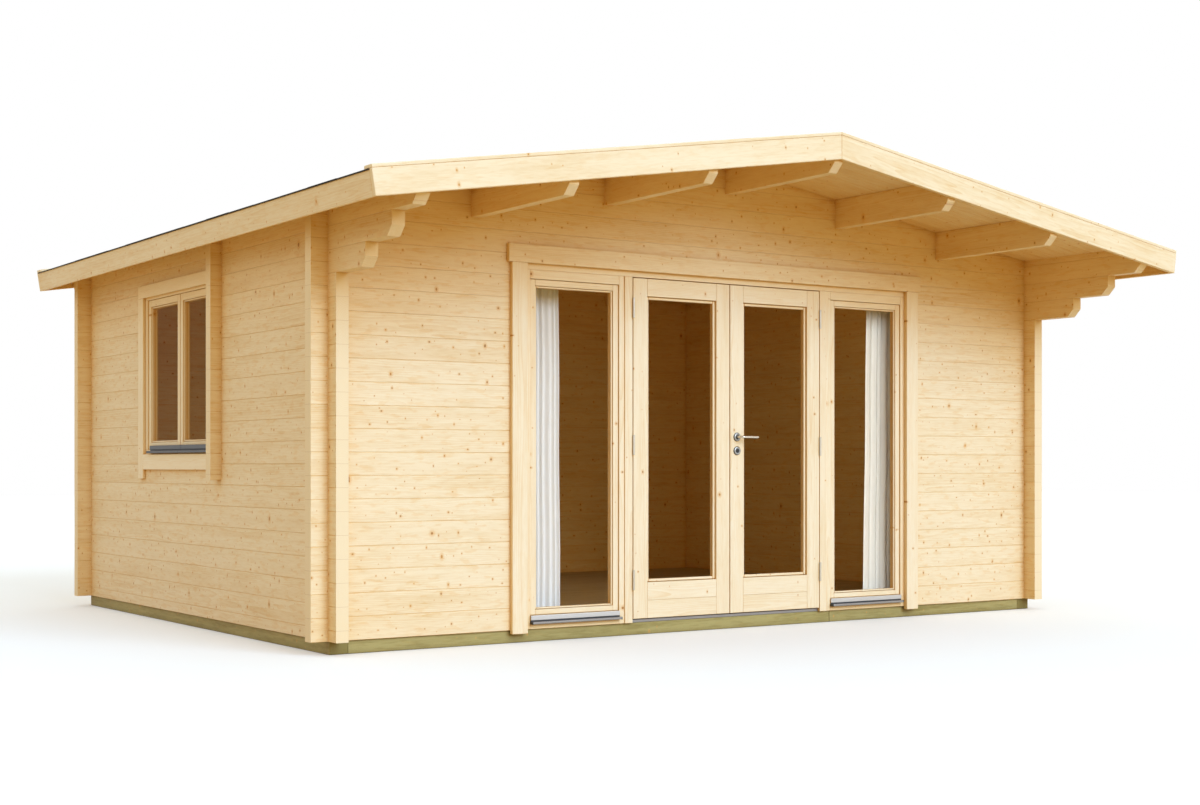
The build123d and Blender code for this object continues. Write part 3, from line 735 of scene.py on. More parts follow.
def roof_boards(side, word):
    low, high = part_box(f"roof_deck_{word}")
    x_from, x_to = sorted((0, side * deck_run()))
    shape = bmesh.new()
    for y_from, y_to in board_spans(low.y, high.y, deck_board_width):
        add_board(shape, (x_from, y_from, 0), (x_to, y_to, deck_thickness), deck_ease, slope_place(side))
    finish_piece(f"roof_boards_{word}", shape, "cabin", f"deck_{word}",
                 [f"roof_deck_{word}"])


def eave_fascias():
    low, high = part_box("eave_fascias")
    shape = bmesh.new()
    for side in (1, -1):
        x_from, x_to = sorted((side * deck_run(), side * eave_run))
        add_board(shape, (x_from, low.y, -barge_drop), (x_to, high.y, deck_thickness), fascia_ease,
                  slope_place(side))
    finish_piece("eave_fascias_square", shape, "cabin", "board_to_back", ["eave_fascias"])


for side, word in ((1, "right"), (-1, "left")):
    roof_boards(side, word)
    eased_copy(f"barge_boards_{word}", barge_ease, f"board_{word}")
    eased_copy(f"verge_strips_{word}", verge_ease, f"board_{word}")
    eased_copy(f"purlins_{word}", purlin_ease, "board_to_back")
eased_copy("ridge_purlin", purlin_ease, "board_to_back")
eave_fascias()
print("roof boarded, ridge underside at", round(ridge_height, 3), "m")

# %% [markdown]
# ## Shingles
# The roof is covered with strips of bitumen felt cut into tabs. Each row lies on the one below it, so its
# lower edge stands a felt's thickness higher, and the slots step by half a tab from row to row. An underlay
# covers the boards first, so the slots show felt and not wood. A texture could draw the tabs, but the stepped
# edges show against the sky, so each row is built tab by tab, and a folded cap closes the ridge.

# %% Lay the shingles
shingle_exposure = 0.145
shingle_lap = 0.045
tab_width = 0.332
tab_slot = 0.007
felt_thickness, felt_ease, felt_sag = 0.0032, 0.0012, 0.0012
row_lift, row_gap = 0.0028, 0.0004
underlay_low, underlay_high, underlay_ease = 0.0002, row_lift - 0.0016, 0.0004
cap_half_width, cap_lift = 0.125, 2.2 * felt_thickness
felt_drip = 0.006


def shingle_row(shape, low_y, high_y, start_y, x_edge, side):
    length = shingle_exposure + shingle_lap
    tip = Matrix.Rotation(-side * atan(row_lift / length), 4, "Y")
    seat = slope_place(side, deck_thickness + row_lift + row_gap)
    place = seat @ Matrix.Translation((side * x_edge, 0, 0)) @ tip
    reach = min(length, x_edge)
    y = start_y
    while y < high_y:
        y_from, y_to = max(y, low_y), min(y + tab_width - tab_slot, high_y)
        if y_to - y_from > tab_slot:
            x_from, x_to = sorted((0, -side * reach))
            sag = dice.uniform(-felt_sag, felt_sag)
            add_board(shape, (x_from, y_from, sag), (x_to, y_to, sag + felt_thickness), felt_ease, place,
                      segments=1)
        y += tab_width


def shingles(side, word):
    low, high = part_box(f"roof_covering_{word}")
    slope_length = eave_run + felt_drip
    shape = bmesh.new()
    rows = int(slope_length / shingle_exposure) + 1
    for row in range(rows):
        start = low.y - (row % 2) * tab_width / 2
        shingle_row(shape, low.y, high.y, start, slope_length - row * shingle_exposure, side)
    x_from, x_to = sorted((0, side * slope_length))
    add_board(shape, (x_from, low.y, underlay_low), (x_to, high.y, underlay_high), underlay_ease,
              slope_place(side, deck_thickness), segments=1)
    piece = finish_piece(f"shingles_{word}", shape, "cabin", "felt", [f"roof_covering_{word}"])
    print(piece.name, rows, "rows,", len(piece.data.polygons), "faces")


def ridge_caps():
    low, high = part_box("roof_covering_right")
    shape = bmesh.new()
    length = shingle_exposure + shingle_lap
    y = low.y
    while y < high.y - shingle_lap:
        y_to = min(y + length, high.y)
        made = bmesh.ops.create_grid(shape, x_segments=2, y_segments=1, size=0.5)["verts"]
        bmesh.ops.scale(shape, vec=(2 * cap_half_width, y_to - y, 1), verts=made)
        ridge = [vert for vert in made if abs(vert.co.x) < weld_distance]
        bmesh.ops.translate(shape, vec=(0, 0, cap_half_width * tan(roof_pitch)), verts=ridge)
        tip = Matrix.Rotation(atan(-felt_thickness / length), 4, "X")
        base = ridge_height + deck_thickness / cos(roof_pitch) - cap_half_width * tan(roof_pitch)
        place = Matrix.Translation((0, (y + y_to) / 2, base + row_lift + cap_lift)) @ tip
        bmesh.ops.transform(shape, matrix=place, verts=made)
        faces = list({face for vert in made for face in vert.link_faces})
        bmesh.ops.solidify(shape, geom=faces, thickness=felt_thickness)
        y += shingle_exposure
    bmesh.ops.recalc_face_normals(shape, faces=shape.faces)
    finish_piece("ridge_caps", shape, "cabin", "felt")


shingles(1, "right")
shingles(-1, "left")
ridge_caps()

# %% [markdown]
# ## Frames and trims of the glazed front and the side window
# Posts, rails and trims are planed boards with eased edges. Their sizes come from the construction, and the
# grain runs the long way of each board. The window's trims are of paler wood than the wall behind them. The
# posts of the front stand at two depths, so they are laid anew, one board each.

# %% Ease the frames and the trims
trim_ease, frame_ease = 0.003, 0.0026
sidelight_post = 0.036
eased_copy("front_trim_sides", trim_ease, "joinery_upright")
eased_copy("window_trim_side", trim_ease, "trim_upright")
eased_copy("front_trim_head", trim_ease, "board_across")
for node in ("window_trim_head", "window_trim_sill"):
    eased_copy(node, trim_ease, "trim_to_back")
for node in ("door_frame_head", "sidelight_rails"):
    eased_copy(node, frame_ease, "joinery_across")
eased_copy("window_frame_posts", frame_ease, "joinery_upright")
eased_copy("window_frame_rails", frame_ease, "joinery_to_back")
# The threshold takes the darker aluminium as painted shade under the leaves
eased_copy("door_threshold", frame_ease, "dull_aluminium")


def door_posts():
    low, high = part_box("door_frame_posts")
    wall_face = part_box("front_wall_left")[0].y
    sash_low, sash_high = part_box("sidelight_sash_right")
    door_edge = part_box("door_threshold")[1].x
    shape = bmesh.new()
    post_edge = sash_low.x - sidelight_post
    spans = [(door_edge, post_edge, low.y), (post_edge, sash_low.x, wall_face),
             (sash_high.x, high.x, wall_face)]
    for x_from, x_to, face in spans:
        for x_low, x_high in ((x_from, x_to), (-x_to, -x_from)):
            add_board(shape, (x_low, face, low.z), (x_high, high.y, high.z), frame_ease)
    finish_piece("door_posts", shape, "cabin", "joinery_upright", ["door_frame_posts"])


door_posts()
print("frames and trims eased")

# %% [markdown]
# ## Joiner's frames
# A glazed leaf is two upright stiles with rails between them, and a bead round the pane that stands a little
# behind the face. Each member is its own board, so the joints between them show as fine lines. One function
# makes the ring of boards, another the beads, and both also serve the side window, turned into its wall.

# %% Joiner's frames
stand_in_finishes = ["joinery_upright", "joinery_across"]
hair_line = 0.0006
sash_gap = 0.0022
bead_gap = 0.0016
leaf_ease, bead_rounding = 0.002, 3.5


def ring_of_boards(shape, low, high, stile, low_rails, high_rail, ease, place=None):
    add_board(shape, low, (low[0] + stile, high[1], high[2]), ease, place, 0)
    add_board(shape, (high[0] - stile, low[1], low[2]), high, ease, place, 0)
    x_from, x_to = low[0] + stile + hair_line, high[0] - stile - hair_line
    z = low[2]
    for rail in low_rails:
        add_board(shape, (x_from, low[1], z), (x_to, high[1], z + rail - hair_line), ease, place, 1)
        z += rail
    add_board(shape, (x_from, low[1], high[2] - high_rail), (x_to, high[1], high[2]), ease, place, 1)


def bead_ring(shape, low, high, width, ease, place=None):
    ring_of_boards(shape, low, high, width, [width], width, ease, place)


def glazed_leaf(shape, low, high, stile, low_rails, high_rail, bead, setback, place=None):
    ring_of_boards(shape, low, high, stile, low_rails, high_rail, leaf_ease, place)
    bead_low = (low[0] + stile + bead_gap, low[1] + setback, low[2] + sum(low_rails) + bead_gap)
    bead_high = (high[0] - stile - bead_gap, high[1] - setback, high[2] - high_rail - bead_gap)
    bead_ring(shape, bead_low, bead_high, bead, bead / bead_rounding, place)


print("joinery helpers ready")

# %% [markdown]
# ## Door leaves and sidelights
# Each door leaf is a frame of planed spruce round one tall pane, with a deep foot of two boards. The fixed
# sidelights are made the same way with slim members. They could be cut out of one solid each, but then every
# joint would have to be drawn on. The joiner's frame builds them from the boxes of the construction, so they
# fit its panes.

# %% Door leaves and sidelight sashes
leaf_stile, leaf_top_rail = 0.098, 0.100
leaf_low_boards = [0.103, 0.103]
bead_width, bead_setback = 0.016, 0.012
sash_face_stile, sash_face_low, sash_face_high = 0.035, [0.029], 0.034
sash_bead, sash_bead_setback = 0.009, 0.006


def door_leaves():
    inset = Vector((sash_gap, 0, sash_gap))
    for word in ("left", "right"):
        low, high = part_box(f"door_leaf_{word}")
        shape = bmesh.new()
        glazed_leaf(shape, low, high, leaf_stile, leaf_low_boards, leaf_top_rail, bead_width, bead_setback)
        finish_piece(f"door_leaf_{word}_joined", shape, f"door_{word}", stand_in_finishes,
                     [f"door_leaf_{word}"])
        low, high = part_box(f"sidelight_sash_{word}")
        shape = bmesh.new()
        glazed_leaf(shape, low + inset, high - inset, sash_face_stile, sash_face_low, sash_face_high,
                    sash_bead, sash_bead_setback)
        finish_piece(f"sidelight_sash_{word}_joined", shape, "cabin", stand_in_finishes,
                     [f"sidelight_sash_{word}"])


door_leaves()
print("two door leaves and two sidelight sashes")

# %% [markdown]
# ## Side window
# Two casements meet in the middle of the window in the left wall. A second frame function could build along
# the wall, but one is enough: each leaf is drawn as if for the front and turned a quarter into its wall.

# %% Side window sashes
window_face_stile = 0.042
casement_gap = 0.004
onto_left_wall = Matrix.Rotation(radians(-90), 4, "Z")


def side_window():
    low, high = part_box("window_sashes")
    middle = (low.y + high.y) / 2
    shape = bmesh.new()
    for y_from, y_to in ((low.y, middle - casement_gap / 2), (middle + casement_gap / 2, high.y)):
        leaf_low = (sash_gap - y_to, low.x, low.z + sash_gap)
        leaf_high = (-y_from - sash_gap, high.x, high.z - sash_gap)
        glazed_leaf(shape, leaf_low, leaf_high, window_face_stile, [window_face_stile], window_face_stile,
                    sash_bead, sash_bead_setback, onto_left_wall)
    finish_piece("window_sashes_joined", shape, "cabin", ["joinery_upright", "joinery_to_back"],
                 ["window_sashes"])


side_window()
print("side window sashes")

# %% [markdown]
# ## Aluminium drip sills
# Under the sidelights and the side window a section throws the rain clear of the frame: a plate against the
# sash, a groove under it that a dark strip fills as painted shadow, and a nose with rounded edges that stands
# further out. Each part is an eased board, and the ends of the nose are closed with dark caps. One folded
# profile could be swept along, but boards keep the dark line between plate and nose sharp. On the front the
# nose is a darker aluminium than the plate, and the side window's sill is darker still, as painted shade. The
# places come from the separate solids of the construction, found by walking over the edges that hang
# together. The sill of the side window is cut short at the rear, as the picture shows it.

# %% Lay the drip sills
plate_reach, plate_share, plate_ease = 0.011, 0.56, 0.0025
groove_shadow_reach, groove_shadow_share, groove_shadow_ease, groove_shadow_inset = 0.007, 0.14, 0.0005, 0.001
nose_ease, nose_segments = 0.0048, 4
cap_thickness, cap_rim, cap_ease = 0.003, 0.0006, 0.0012
dark_cap_and_groove_shadow = 3
side_sill_short = 0.105


def island_boxes(node):
    shape = bmesh.new()
    shape.from_mesh(nodes[node].data)
    bmesh.ops.remove_doubles(shape, verts=shape.verts, dist=weld_distance)
    boxes, waiting = [], set(shape.verts)
    while waiting:
        reached = [waiting.pop()]
        for vert in reached:
            near = {edge.other_vert(vert) for edge in vert.link_edges} & waiting
            waiting -= near
            reached += near
        boxes.append(tuple(Vector([pick(vert.co[axis] for vert in reached) for axis in range(3)])
                           for pick in (min, max)))
    shape.free()
    return sorted(boxes, key=lambda box: (box[0].x, box[0].y))


def add_sill(shape, length, depth, height, place, plate_finish, nose_finish, joint=None):
    groove_shadow_low = height * (1 - plate_share - groove_shadow_share)
    plate_low = height * (1 - plate_share)
    spans = [(0, length)] if joint is None else [(0, joint - beam_gap), (joint, length)]
    for x_from, x_to in spans:
        add_board(shape, (x_from, -plate_reach, plate_low), (x_to, 0, height), plate_ease, place,
                  plate_finish)
        add_board(shape, (x_from, -depth, 0), (x_to, 0, groove_shadow_low), nose_ease, place, nose_finish,
                  nose_segments)
    # Painted shadow: a dark strip fills the groove between plate and nose
    add_board(shape, (groove_shadow_inset, -groove_shadow_reach, groove_shadow_low), (length - groove_shadow_inset, 0, plate_low), groove_shadow_ease,
              place, dark_cap_and_groove_shadow)
    for x in (-cap_thickness / 2, length - cap_thickness / 2):
        add_board(shape, (x, -depth - cap_rim, -cap_rim), (x + cap_thickness, 0, groove_shadow_low + cap_rim),
                  cap_ease, place, dark_cap_and_groove_shadow)


def drip_sills():
    shape = bmesh.new()
    for low, high in island_boxes("drip_sills"):
        size = high - low
        # The front noses and the side window's sill take darker aluminium as painted shade
        if size.x > size.y:
            add_sill(shape, size.x, size.y, size.z, Matrix.Translation((low.x, high.y, low.z)), 0, 1)
        else:
            length = size.y - side_sill_short
            place = Matrix.Translation((high.x, high.y - side_sill_short, low.z)) @ onto_left_wall
            add_sill(shape, length, size.x, size.z, place, 2, 2, length / 2)
    finish_piece("drip_sills_folded", shape, "cabin",
                 ["aluminium", "dull_aluminium", "deep_shade_aluminium", "dark_plastic_and_painted_shadow"], ["drip_sills"])


drip_sills()
print("three drip sills with end caps")

# %% [markdown]
# ## Round bars
# Hinge knuckles, the lever, its roses and the curtain rails are all round. A curve with a bevel could draw
# them, but its ends stay blunt. Here round pieces start as circles: extruded for the straight runs, spun for
# the bend, and drawn in step by step for a rounded tip.

# %% Round-bar helpers
rod_sides = 24


def ring_edges(verts):
    pool = set(verts)
    return [edge for edge in {edge for vert in verts for edge in vert.link_edges}
            if edge.verts[0] in pool and edge.verts[1] in pool]


def run_out(shape, verts, step, size=1.0):
    made = bmesh.ops.extrude_edge_only(shape, edges=ring_edges(verts))["geom"]
    moved = [item for item in made if isinstance(item, bmesh.types.BMVert)]
    bmesh.ops.translate(shape, vec=step, verts=moved)
    middle = sum((vert.co for vert in moved), Vector()) / len(moved)
    bmesh.ops.scale(shape, vec=(size, size, size), space=Matrix.Translation(-middle), verts=moved)
    return moved


def turned(shape, profile, place, sides=rod_sides, finish_index=0):
    """A turned piece: profile pairs (height, radius) along the axis, closed at both ends."""
    first_face = len(shape.faces)
    height, radius = profile[0]
    verts = bmesh.ops.create_circle(shape, cap_ends=True, segments=sides, radius=radius)["verts"]
    bmesh.ops.translate(shape, vec=(0, 0, height), verts=verts)
    every = list(verts)
    for (low, wide), (high, slim) in zip(profile, profile[1:]):
        verts = run_out(shape, verts, (0, 0, high - low), slim / wide)
        every += verts
    bmesh.ops.contextual_create(shape, geom=ring_edges(verts))
    bmesh.ops.transform(shape, matrix=place, verts=every)
    finish_faces(shape, first_face, finish_index)


print("round-bar helpers ready")

# %% [markdown]
# ## Hinges
# Each door hangs on three lift-off hinges, of which the round knuckles show beside the mullion. One half of a
# hinge stays on the frame and the other swings with the door, so the halves are separate pieces on separate
# bodies, each a turned knuckle with a thin flap in the gap.

# %% Hinges
knuckle_radius, hinge_round = 0.006, 0.0015
flap_thickness, flap_ease = 0.002, 0.0003


def knuckle_profile(low, high, radius):
    return [(low, radius - hinge_round), (low + hinge_round, radius), (high - hinge_round, radius),
            (high, radius - hinge_round)]


def hinge_halves(node, body):
    """One knuckle and one flap in the gap for each separate half in the node."""
    source = bmesh.new()
    source.from_mesh(nodes[node].data)
    heights = sorted({round(vert.co.z, 4) for vert in source.verts})
    source.free()
    spans = list(zip(heights[::2], heights[1::2]))
    low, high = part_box(node)
    hinge_y = low.y + knuckle_radius
    leaf_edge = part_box("door_leaf_right")[1].x
    post_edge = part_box("door_threshold")[1].x
    axis_x = (leaf_edge + post_edge) / 2
    seat = post_edge - flap_thickness if body == "cabin" else leaf_edge
    sides = {"hinges_left": [-1], "hinges_right": [1]}.get(node, [-1, 1])
    shape = bmesh.new()
    for side in sides:
        for z_from, z_to in spans:
            place = Matrix.Translation((side * axis_x, hinge_y, 0))
            turned(shape, knuckle_profile(z_from, z_to, knuckle_radius), place)
            x_from, x_to = sorted((side * seat, side * (seat + flap_thickness)))
            add_board(shape, (x_from, hinge_y, z_from), (x_to, high.y, z_to), flap_ease)
    bmesh.ops.recalc_face_normals(shape, faces=shape.faces)
    finish_piece(f"{node}_turned", shape, body, "zinc", [node], smooth=True)


for node, body in (("hinges_frame", "cabin"), ("hinges_left", "door_left"), ("hinges_right", "door_right")):
    hinge_halves(node, body)
print("three hinges a door")

# %% [markdown]
# ## Lever and lock
# The lever is a bent round rod that comes out of a rose on each face of the door, with a second rose below it
# for the lock cylinder. A rod of boxes would show corners in the bend, so the circle is spun round it. Lever
# and roses are separate pieces, because the lever turns and the roses stay on the door.

# %% Lever and lock roses
neck_radius, arm_radius, tip_radius = 0.0088, 0.0078, 0.0085
bend_radius, bend_steps, tip_steps = 0.015, 8, 5
spindle_radius = 0.008
rose_radius, rose_thickness, rose_sides = 0.026, 0.008, 32
centre_radius, cylinder_radius = 0.0145, 0.0065
closing_radius = 0.002
keyhole_low, keyhole_high, keyhole_ease = (-0.0012, -0.0055, 0.0084), (0.0012, 0.0035, 0.0091), 0.0002


def rounded_tip(shape, verts, direction, radius):
    reach, width = 0.0, 1.0
    for step in range(1, tip_steps + 1):
        angle = step / (tip_steps + 1) * pi / 2
        new_reach, new_width = radius * sin(angle), cos(angle)
        verts = run_out(shape, verts, direction * (new_reach - reach), new_width / width)
        reach, width = new_reach, new_width
    bmesh.ops.contextual_create(shape, geom=ring_edges(verts))


def lever_arm(shape, centre, face_y, outward, arm_length, stand_off):
    """A rod that comes straight out of the rose, bends and runs to the rounded tip."""
    verts = bmesh.ops.create_circle(shape, cap_ends=False, segments=rod_sides, radius=neck_radius)["verts"]
    stand = Matrix.Translation((centre.x, face_y, centre.z)) @ Matrix.Rotation(outward * radians(90), 4, "X")
    bmesh.ops.transform(shape, matrix=stand, verts=verts)
    out = Vector((0, -outward, 0))
    verts = run_out(shape, verts, out * (stand_off - bend_radius), arm_radius / neck_radius)
    pivot = Vector((centre.x + bend_radius, verts[0].co.y, centre.z))
    spun = bmesh.ops.spin(shape, geom=verts + ring_edges(verts), cent=pivot, axis=(0, 0, outward),
                          angle=radians(90), steps=bend_steps, use_merge=False)
    verts = [item for item in spun["geom_last"] if isinstance(item, bmesh.types.BMVert)]
    straight = arm_length - bend_radius - tip_radius
    verts = run_out(shape, verts, Vector((straight, 0, 0)), tip_radius / arm_radius)
    rounded_tip(shape, verts, east, tip_radius)


def door_lever():
    low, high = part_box("door_lever")
    leaf_low, leaf_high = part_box("door_leaf_right")
    centre = Vector((low.x + spindle_radius, 0, (low.z + high.z) / 2))
    stand_off = leaf_low.y - low.y - spindle_radius
    shape = bmesh.new()
    for face_y, outward in ((leaf_low.y, 1), (leaf_high.y, -1)):
        lever_arm(shape, centre, face_y, outward, high.x - centre.x, stand_off)
    bmesh.ops.recalc_face_normals(shape, faces=shape.faces)
    finish_piece("door_lever_bent", shape, "lever", "steel", ["door_lever"], smooth=True)
    return centre


def lock_roses(centre):
    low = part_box("lock_roses")[0]
    leaf_low, leaf_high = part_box("door_leaf_right")
    shape = bmesh.new()
    heights = (centre.z, low.z + rose_radius)
    rim = [(0, rose_radius), (0.0030, rose_radius), (0.0040, rose_radius - 0.001), (0.0040, closing_radius)]
    face = [(0.0035, rose_radius - 0.003), (0.0062, rose_radius - 0.003), (0.0076, rose_radius - 0.0052),
            (rose_thickness, rose_radius - 0.008), (0.0074, centre_radius), (0.0050, centre_radius),
            (0.0050, closing_radius)]
    core = [(0.0045, centre_radius), (0.0056, centre_radius - 0.0006), (0.0056, closing_radius)]
    cylinder = [(0.005, cylinder_radius), (0.0082, cylinder_radius), (0.0088, cylinder_radius - 0.0008),
                (0.0088, closing_radius)]
    for z in heights:
        for face_y, outward in ((leaf_low.y, 1), (leaf_high.y, -1)):
            stand = Matrix.Rotation(outward * radians(90), 4, "X")
            place = Matrix.Translation((centre.x, face_y, z)) @ stand
            # The rim is dark steel as a painted darker edge, the core is dark as painted shadow round the
            # neck, and the keyhole is a dark block as painted shade of the slot
            turned(shape, rim, place, rose_sides, 1)
            turned(shape, face, place, rose_sides)
            turned(shape, core, place, rod_sides, 2)
            if z != centre.z:
                turned(shape, cylinder, place, rod_sides, 1)
                add_board(shape, keyhole_low, keyhole_high, keyhole_ease, place, 2, 1)
    bmesh.ops.recalc_face_normals(shape, faces=shape.faces)
    finish_piece("lock_roses_turned", shape, "door_right",
                 ["rose_steel", "dark_steel_and_painted_shade", "dark_plastic_and_painted_shadow"], ["lock_roses"], smooth=True)


lock_roses(door_lever())
print("lever and lock roses")

# %% [markdown]
# ## Curtains
# Two narrow white curtains hang behind the sidelights. Cloth simulation could gather them, but a gathered
# heading makes nearly regular folds, so they are drawn as a grid whose waves are close and even at the
# heading and loosen towards the hem. The flat width is the length along the folds at the heading, as the
# cloth was cut.

# %% Hang the curtains
folds_per_metre = 26.0
fold_share = 0.40
cloth_columns_per_fold, cloth_rows = 16, 60
cloth_thickness = 0.0008
side_margin = 0.02


def fold_depth(u, v, folds, seed):
    """Depth of the cloth, from -1 to 1, at share u of its width and v of its height from the hem."""
    drift = 0.10 * sin(tau * (1.3 * u + 0.7 * seed)) * (1 - v) + 0.05 * sin(tau * (2.1 * v + seed))
    phase = tau * folds * u + tau * drift
    size = 0.62 + 0.24 * (1 - v) + 0.14 * sin(tau * (0.9 * u * folds / 3 + seed + 0.35 * v))
    return size * (sin(phase) + 0.16 * sin(2 * phase + 1.1 + 2.4 * seed)) / 1.16


def curtain(word, seed, outer, pulled_in):
    """A curtain that is drawn in at the heading, by the share pulled_in, towards its outer side."""
    low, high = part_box(f"curtain_{word}")
    size = high - low
    folds = round(size.x * folds_per_metre)
    shape = bmesh.new()
    uv = shape.loops.layers.uv.new("cloth")
    columns = folds * cloth_columns_per_fold
    verts = bmesh.ops.create_grid(shape, x_segments=columns, y_segments=cloth_rows, size=0.5)["verts"]
    half_depth = fold_share * size.y / 2
    share = {vert: (vert.co.x + 0.5, vert.co.y + 0.5) for vert in verts}
    for vert in verts:
        u, v = share[vert]
        uneven = (0.38 * sin(tau * (2.3 * u + seed)) + 0.26 * sin(tau * (4.1 * u + 2 * seed))) / folds
        kept = 1 - pulled_in * v ** 0.7
        across = outer + (u + uneven * u * (1 - u) * 4 - outer) * kept
        vert.co = (low.x + size.x * (side_margin + (1 - 2 * side_margin) * across),
                   (low.y + high.y) / 2 + half_depth * fold_depth(u, v, folds, seed), low.z + size.z * v)
    top = sorted((vert for vert in verts if share[vert][1] > 0.999), key=lambda vert: share[vert][0])
    flat_width = sum((b.co - a.co).length for a, b in zip(top, top[1:]))
    for face in shape.faces:
        for loop in face.loops:
            u, v = share[loop.vert]
            loop[uv].uv = (u * flat_width, v * size.z)
    bmesh.ops.recalc_face_normals(shape, faces=shape.faces)
    piece = finish_piece(f"curtain_{word}_hung", shape, "cabin", "cloth",
                         [f"curtain_{word}"], smooth=True)
    body = piece.modifiers.new("cloth_thickness", "SOLIDIFY")
    body.thickness = cloth_thickness
    body.offset = 0
    print(piece.name, "cut", round(flat_width, 3), "x", round(size.z, 3), "m,", folds, "folds")
    return piece


curtain("left", 0.31, 0, 0.03)
shaded_curtain = curtain("right", 0.78, 1, 0.12)

# %% [markdown]
# ## Curtain rails
# Each curtain hangs on a round white rail. The frame hides it in the picture, so it stays plain: a turned rod
# with rounded ends, and at each end a plate on the wall with a short arm. A bought bracket has more folds,
# but none of them would show.

# %% Curtain rails
rail_radius, rail_reach = 0.010, 0.040
rail_end, rail_round = 0.006, 0.004
plate_width, plate_thickness, bracket_ease = 0.024, 0.006, 0.002
arm_inset, arm_half_height = 0.004, 0.006


def curtain_rails():
    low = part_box("curtain_rails")[0]
    shape = bmesh.new()
    rail_z = low.z + rail_radius
    for word in ("left", "right"):
        cloth_low, cloth_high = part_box(f"curtain_{word}")
        rail_y = (cloth_low.y + cloth_high.y) / 2
        x_from, x_to = cloth_low.x - rail_reach, cloth_high.x + rail_reach
        lie = Matrix.Translation((x_from, rail_y, rail_z)) @ Matrix.Rotation(radians(90), 4, "Y")
        length = x_to - x_from
        profile = [(0, rail_end), (rail_round, rail_radius), (length - rail_round, rail_radius),
                   (length, rail_end)]
        turned(shape, profile, lie)
        for x in (x_from, x_to - plate_width):
            arm_low = (x + arm_inset, low.y, rail_z - arm_half_height)
            arm_high = (x + plate_width - arm_inset, rail_y - rail_end, rail_z + arm_half_height)
            add_board(shape, arm_low, arm_high, bracket_ease)
            plate_low = (x, low.y, rail_z - rail_radius)
            plate_high = (x + plate_width, low.y + plate_thickness, rail_z + rail_radius)
            add_board(shape, plate_low, plate_high, bracket_ease)
    bmesh.ops.recalc_face_normals(shape, faces=shape.faces)
    finish_piece("curtain_rails_round", shape, "cabin", "white_paint", ["curtain_rails"],
                 smooth=True)


curtain_rails()
print("two curtain rails")

# %% [markdown]
# ## Light and background
# The picture is a plain studio view on white: a broad key light from the front right, soft light from all
# round, and a white ground. The white that the camera sees is separate from the light on the object, through
# Light Path, so the timber keeps its own colour. The soft light has colours of its own for the front and for
# the left side, low down and high up. An environment picture could give it, but its colours couldn't be set
# one by one. A weak warm lamp stands for light that the wood inside throws about. The right curtain is lit
# from the front left, so the key leaves it out and a lamp of its own washes it. The floor is a large sheet
# that still takes the shadow.

# %% Studio
key_turn, key_height, key_strength, key_spread = radians(11), radians(25.5), 2.34, radians(38)
key_colour = (0.545, 0.735, 1.0)
front_low, front_high = (0.74, 0.64, 0.43, 1), (1.16, 1.03, 0.70, 1)
side_low, side_high = (0.30, 0.25, 0.16, 1), (1.06, 0.99, 0.90, 1)
zenith_colour = (0.8, 0.95, 1.1, 1)
ground_glow = (0.57, 0.37, 0.13, 1)
room_colour, room_power = (1.0, 0.68, 0.22), 7.5
wash_turn, wash_height, wash_strength = radians(-26), radians(14), 2.15
wash_colour = (0.81, 0.93, 1.0)
room_share, room_lamp_height, room_lamp_tilt = 0.8, 0.3, radians(80)
room_lamp_back, room_lamp_up = 0.35, 2.05
floor_size, floor_gap = 90.0, 0.001
floor_grey, floor_lift = (0.84, 0.84, 0.84, 1), 0.14
white = (1, 1, 1, 1)


def seen_directly(tree):
    path = add_node(tree, "ShaderNodeLightPath").outputs
    seen = calc(tree, "MAXIMUM", path["Is Camera Ray"], path["Is Glossy Ray"])
    seen = calc(tree, "MAXIMUM", seen, path["Is Transmission Ray"])
    return calc(tree, "MULTIPLY", seen, calc(tree, "LESS_THAN", path["Diffuse Depth"], 0.5))


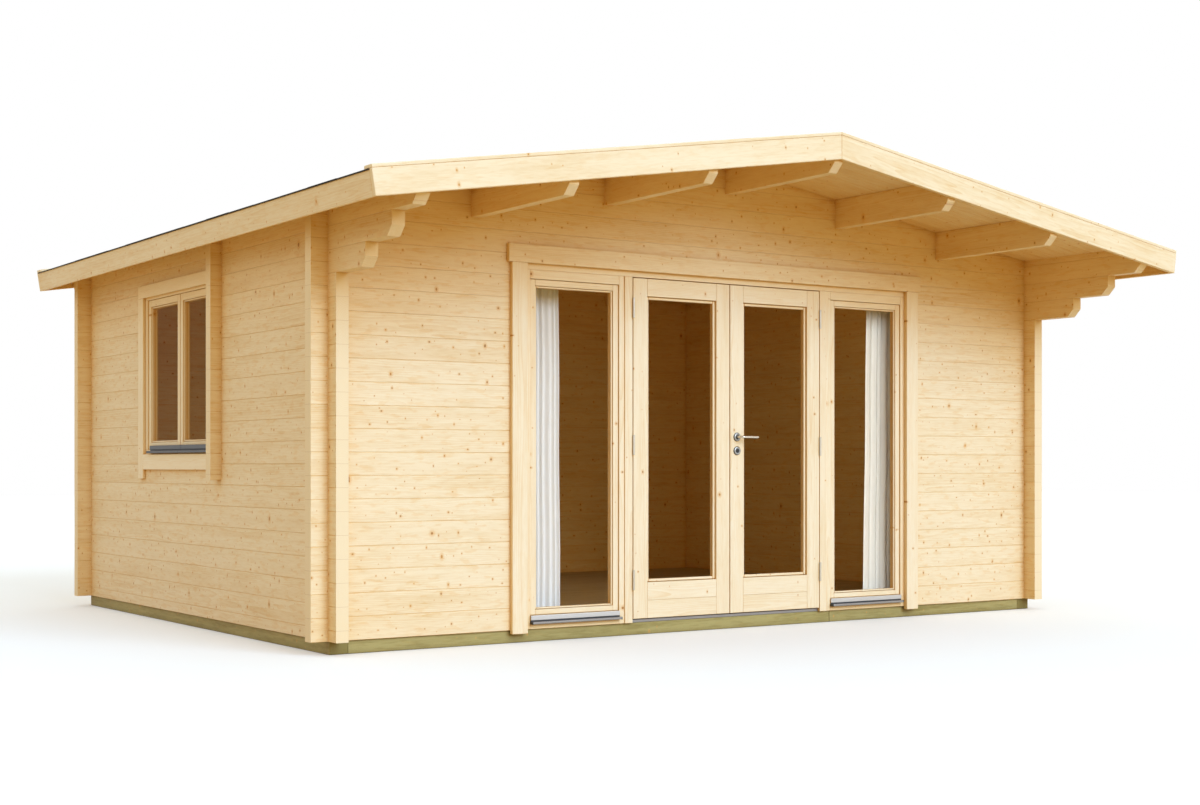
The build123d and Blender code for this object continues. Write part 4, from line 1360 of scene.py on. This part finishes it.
def studio_world():
    world = bpy.data.worlds.new("studio")
    world.use_nodes = True
    tree = world.node_tree
    light = tree.nodes["Background"]
    way = add_node(tree, "ShaderNodeTexCoord").outputs["Generated"]
    parts = add_node(tree, "ShaderNodeSeparateXYZ", {"Vector": way}).outputs
    across, height = parts["X"], parts["Z"]
    from_left = soft_step(tree, across, -0.25, -0.85)
    low = mix_colour(tree, from_left, front_low, side_low)
    high = mix_colour(tree, from_left, front_high, side_high)
    sky = mix_colour(tree, soft_step(tree, height, 0.0, 0.42), low, high)
    sky = mix_colour(tree, soft_step(tree, height, 0.45, 0.95), sky, zenith_colour)
    feed(tree, light.inputs["Color"], sky)
    backdrop = add_node(tree, "ShaderNodeBackground", {"Color": white, "Strength": 1.0})
    mix_shaders(tree, seen_directly(tree), light.outputs[0], backdrop.outputs[0], "World Output")
    scene.world = world


def studio_floor():
    shape = bmesh.new()
    bmesh.ops.create_grid(shape, x_segments=1, y_segments=1, size=floor_size / 2)
    mesh = bpy.data.meshes.new("studio_floor")
    shape.to_mesh(mesh)
    shape.free()
    mesh.transform(Matrix.Translation((0, 0, cad_box[0].z - floor_gap)))
    floor = add_object("studio_floor", mesh)
    material, tree, surface = new_material("studio_floor")
    seen = seen_directly(tree)
    fill(tree, surface, {"Base Color": mix_colour(tree, seen, ground_glow, floor_grey), "Roughness": 1.0,
                         "Specular IOR Level": 0.0, "Emission Color": white,
                         "Emission Strength": calc(tree, "MULTIPLY", seen, floor_lift)})
    mesh.materials.append(material)


def sun(name, turn, height, strength, colour, curtain_list, link_state):
    """A broad sun that only lights the shaded curtain, or everything else, as link_state says."""
    lamp = bpy.data.lights.new(name, "SUN")
    lamp.energy = strength
    lamp.angle = key_spread
    lamp.color = colour
    light = add_object(name, lamp)
    light.rotation_euler = Euler((radians(90) - height, 0, turn))
    linked = bpy.data.collections.new(curtain_list)
    linked.objects.link(shaded_curtain)
    linked.collection_objects[0].light_linking.link_state = link_state
    light.light_linking.receiver_collection = linked


def room_light():
    low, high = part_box("floor_deck")
    lamp = bpy.data.lights.new("room", "AREA")
    lamp.shape = "RECTANGLE"
    lamp.size, lamp.size_y = room_share * (high.x - low.x), room_lamp_height
    lamp.energy = room_power
    lamp.color = room_colour
    room = add_object("room", lamp)
    room.location = ((low.x + high.x) / 2, low.y + room_lamp_back, high.z + room_lamp_up)
    room.rotation_euler = Euler((room_lamp_tilt, 0, 0))
    room.visible_camera = room.visible_glossy = room.visible_transmission = False


scene.view_settings.view_transform = "Standard"
studio_world()
studio_floor()
sun("key", key_turn, key_height, key_strength, key_colour, "key_leaves_out", "EXCLUDE")
room_light()
sun("curtain_wash", wash_turn, wash_height, wash_strength, wash_colour, "washed_curtain", "INCLUDE")
print("studio lit")
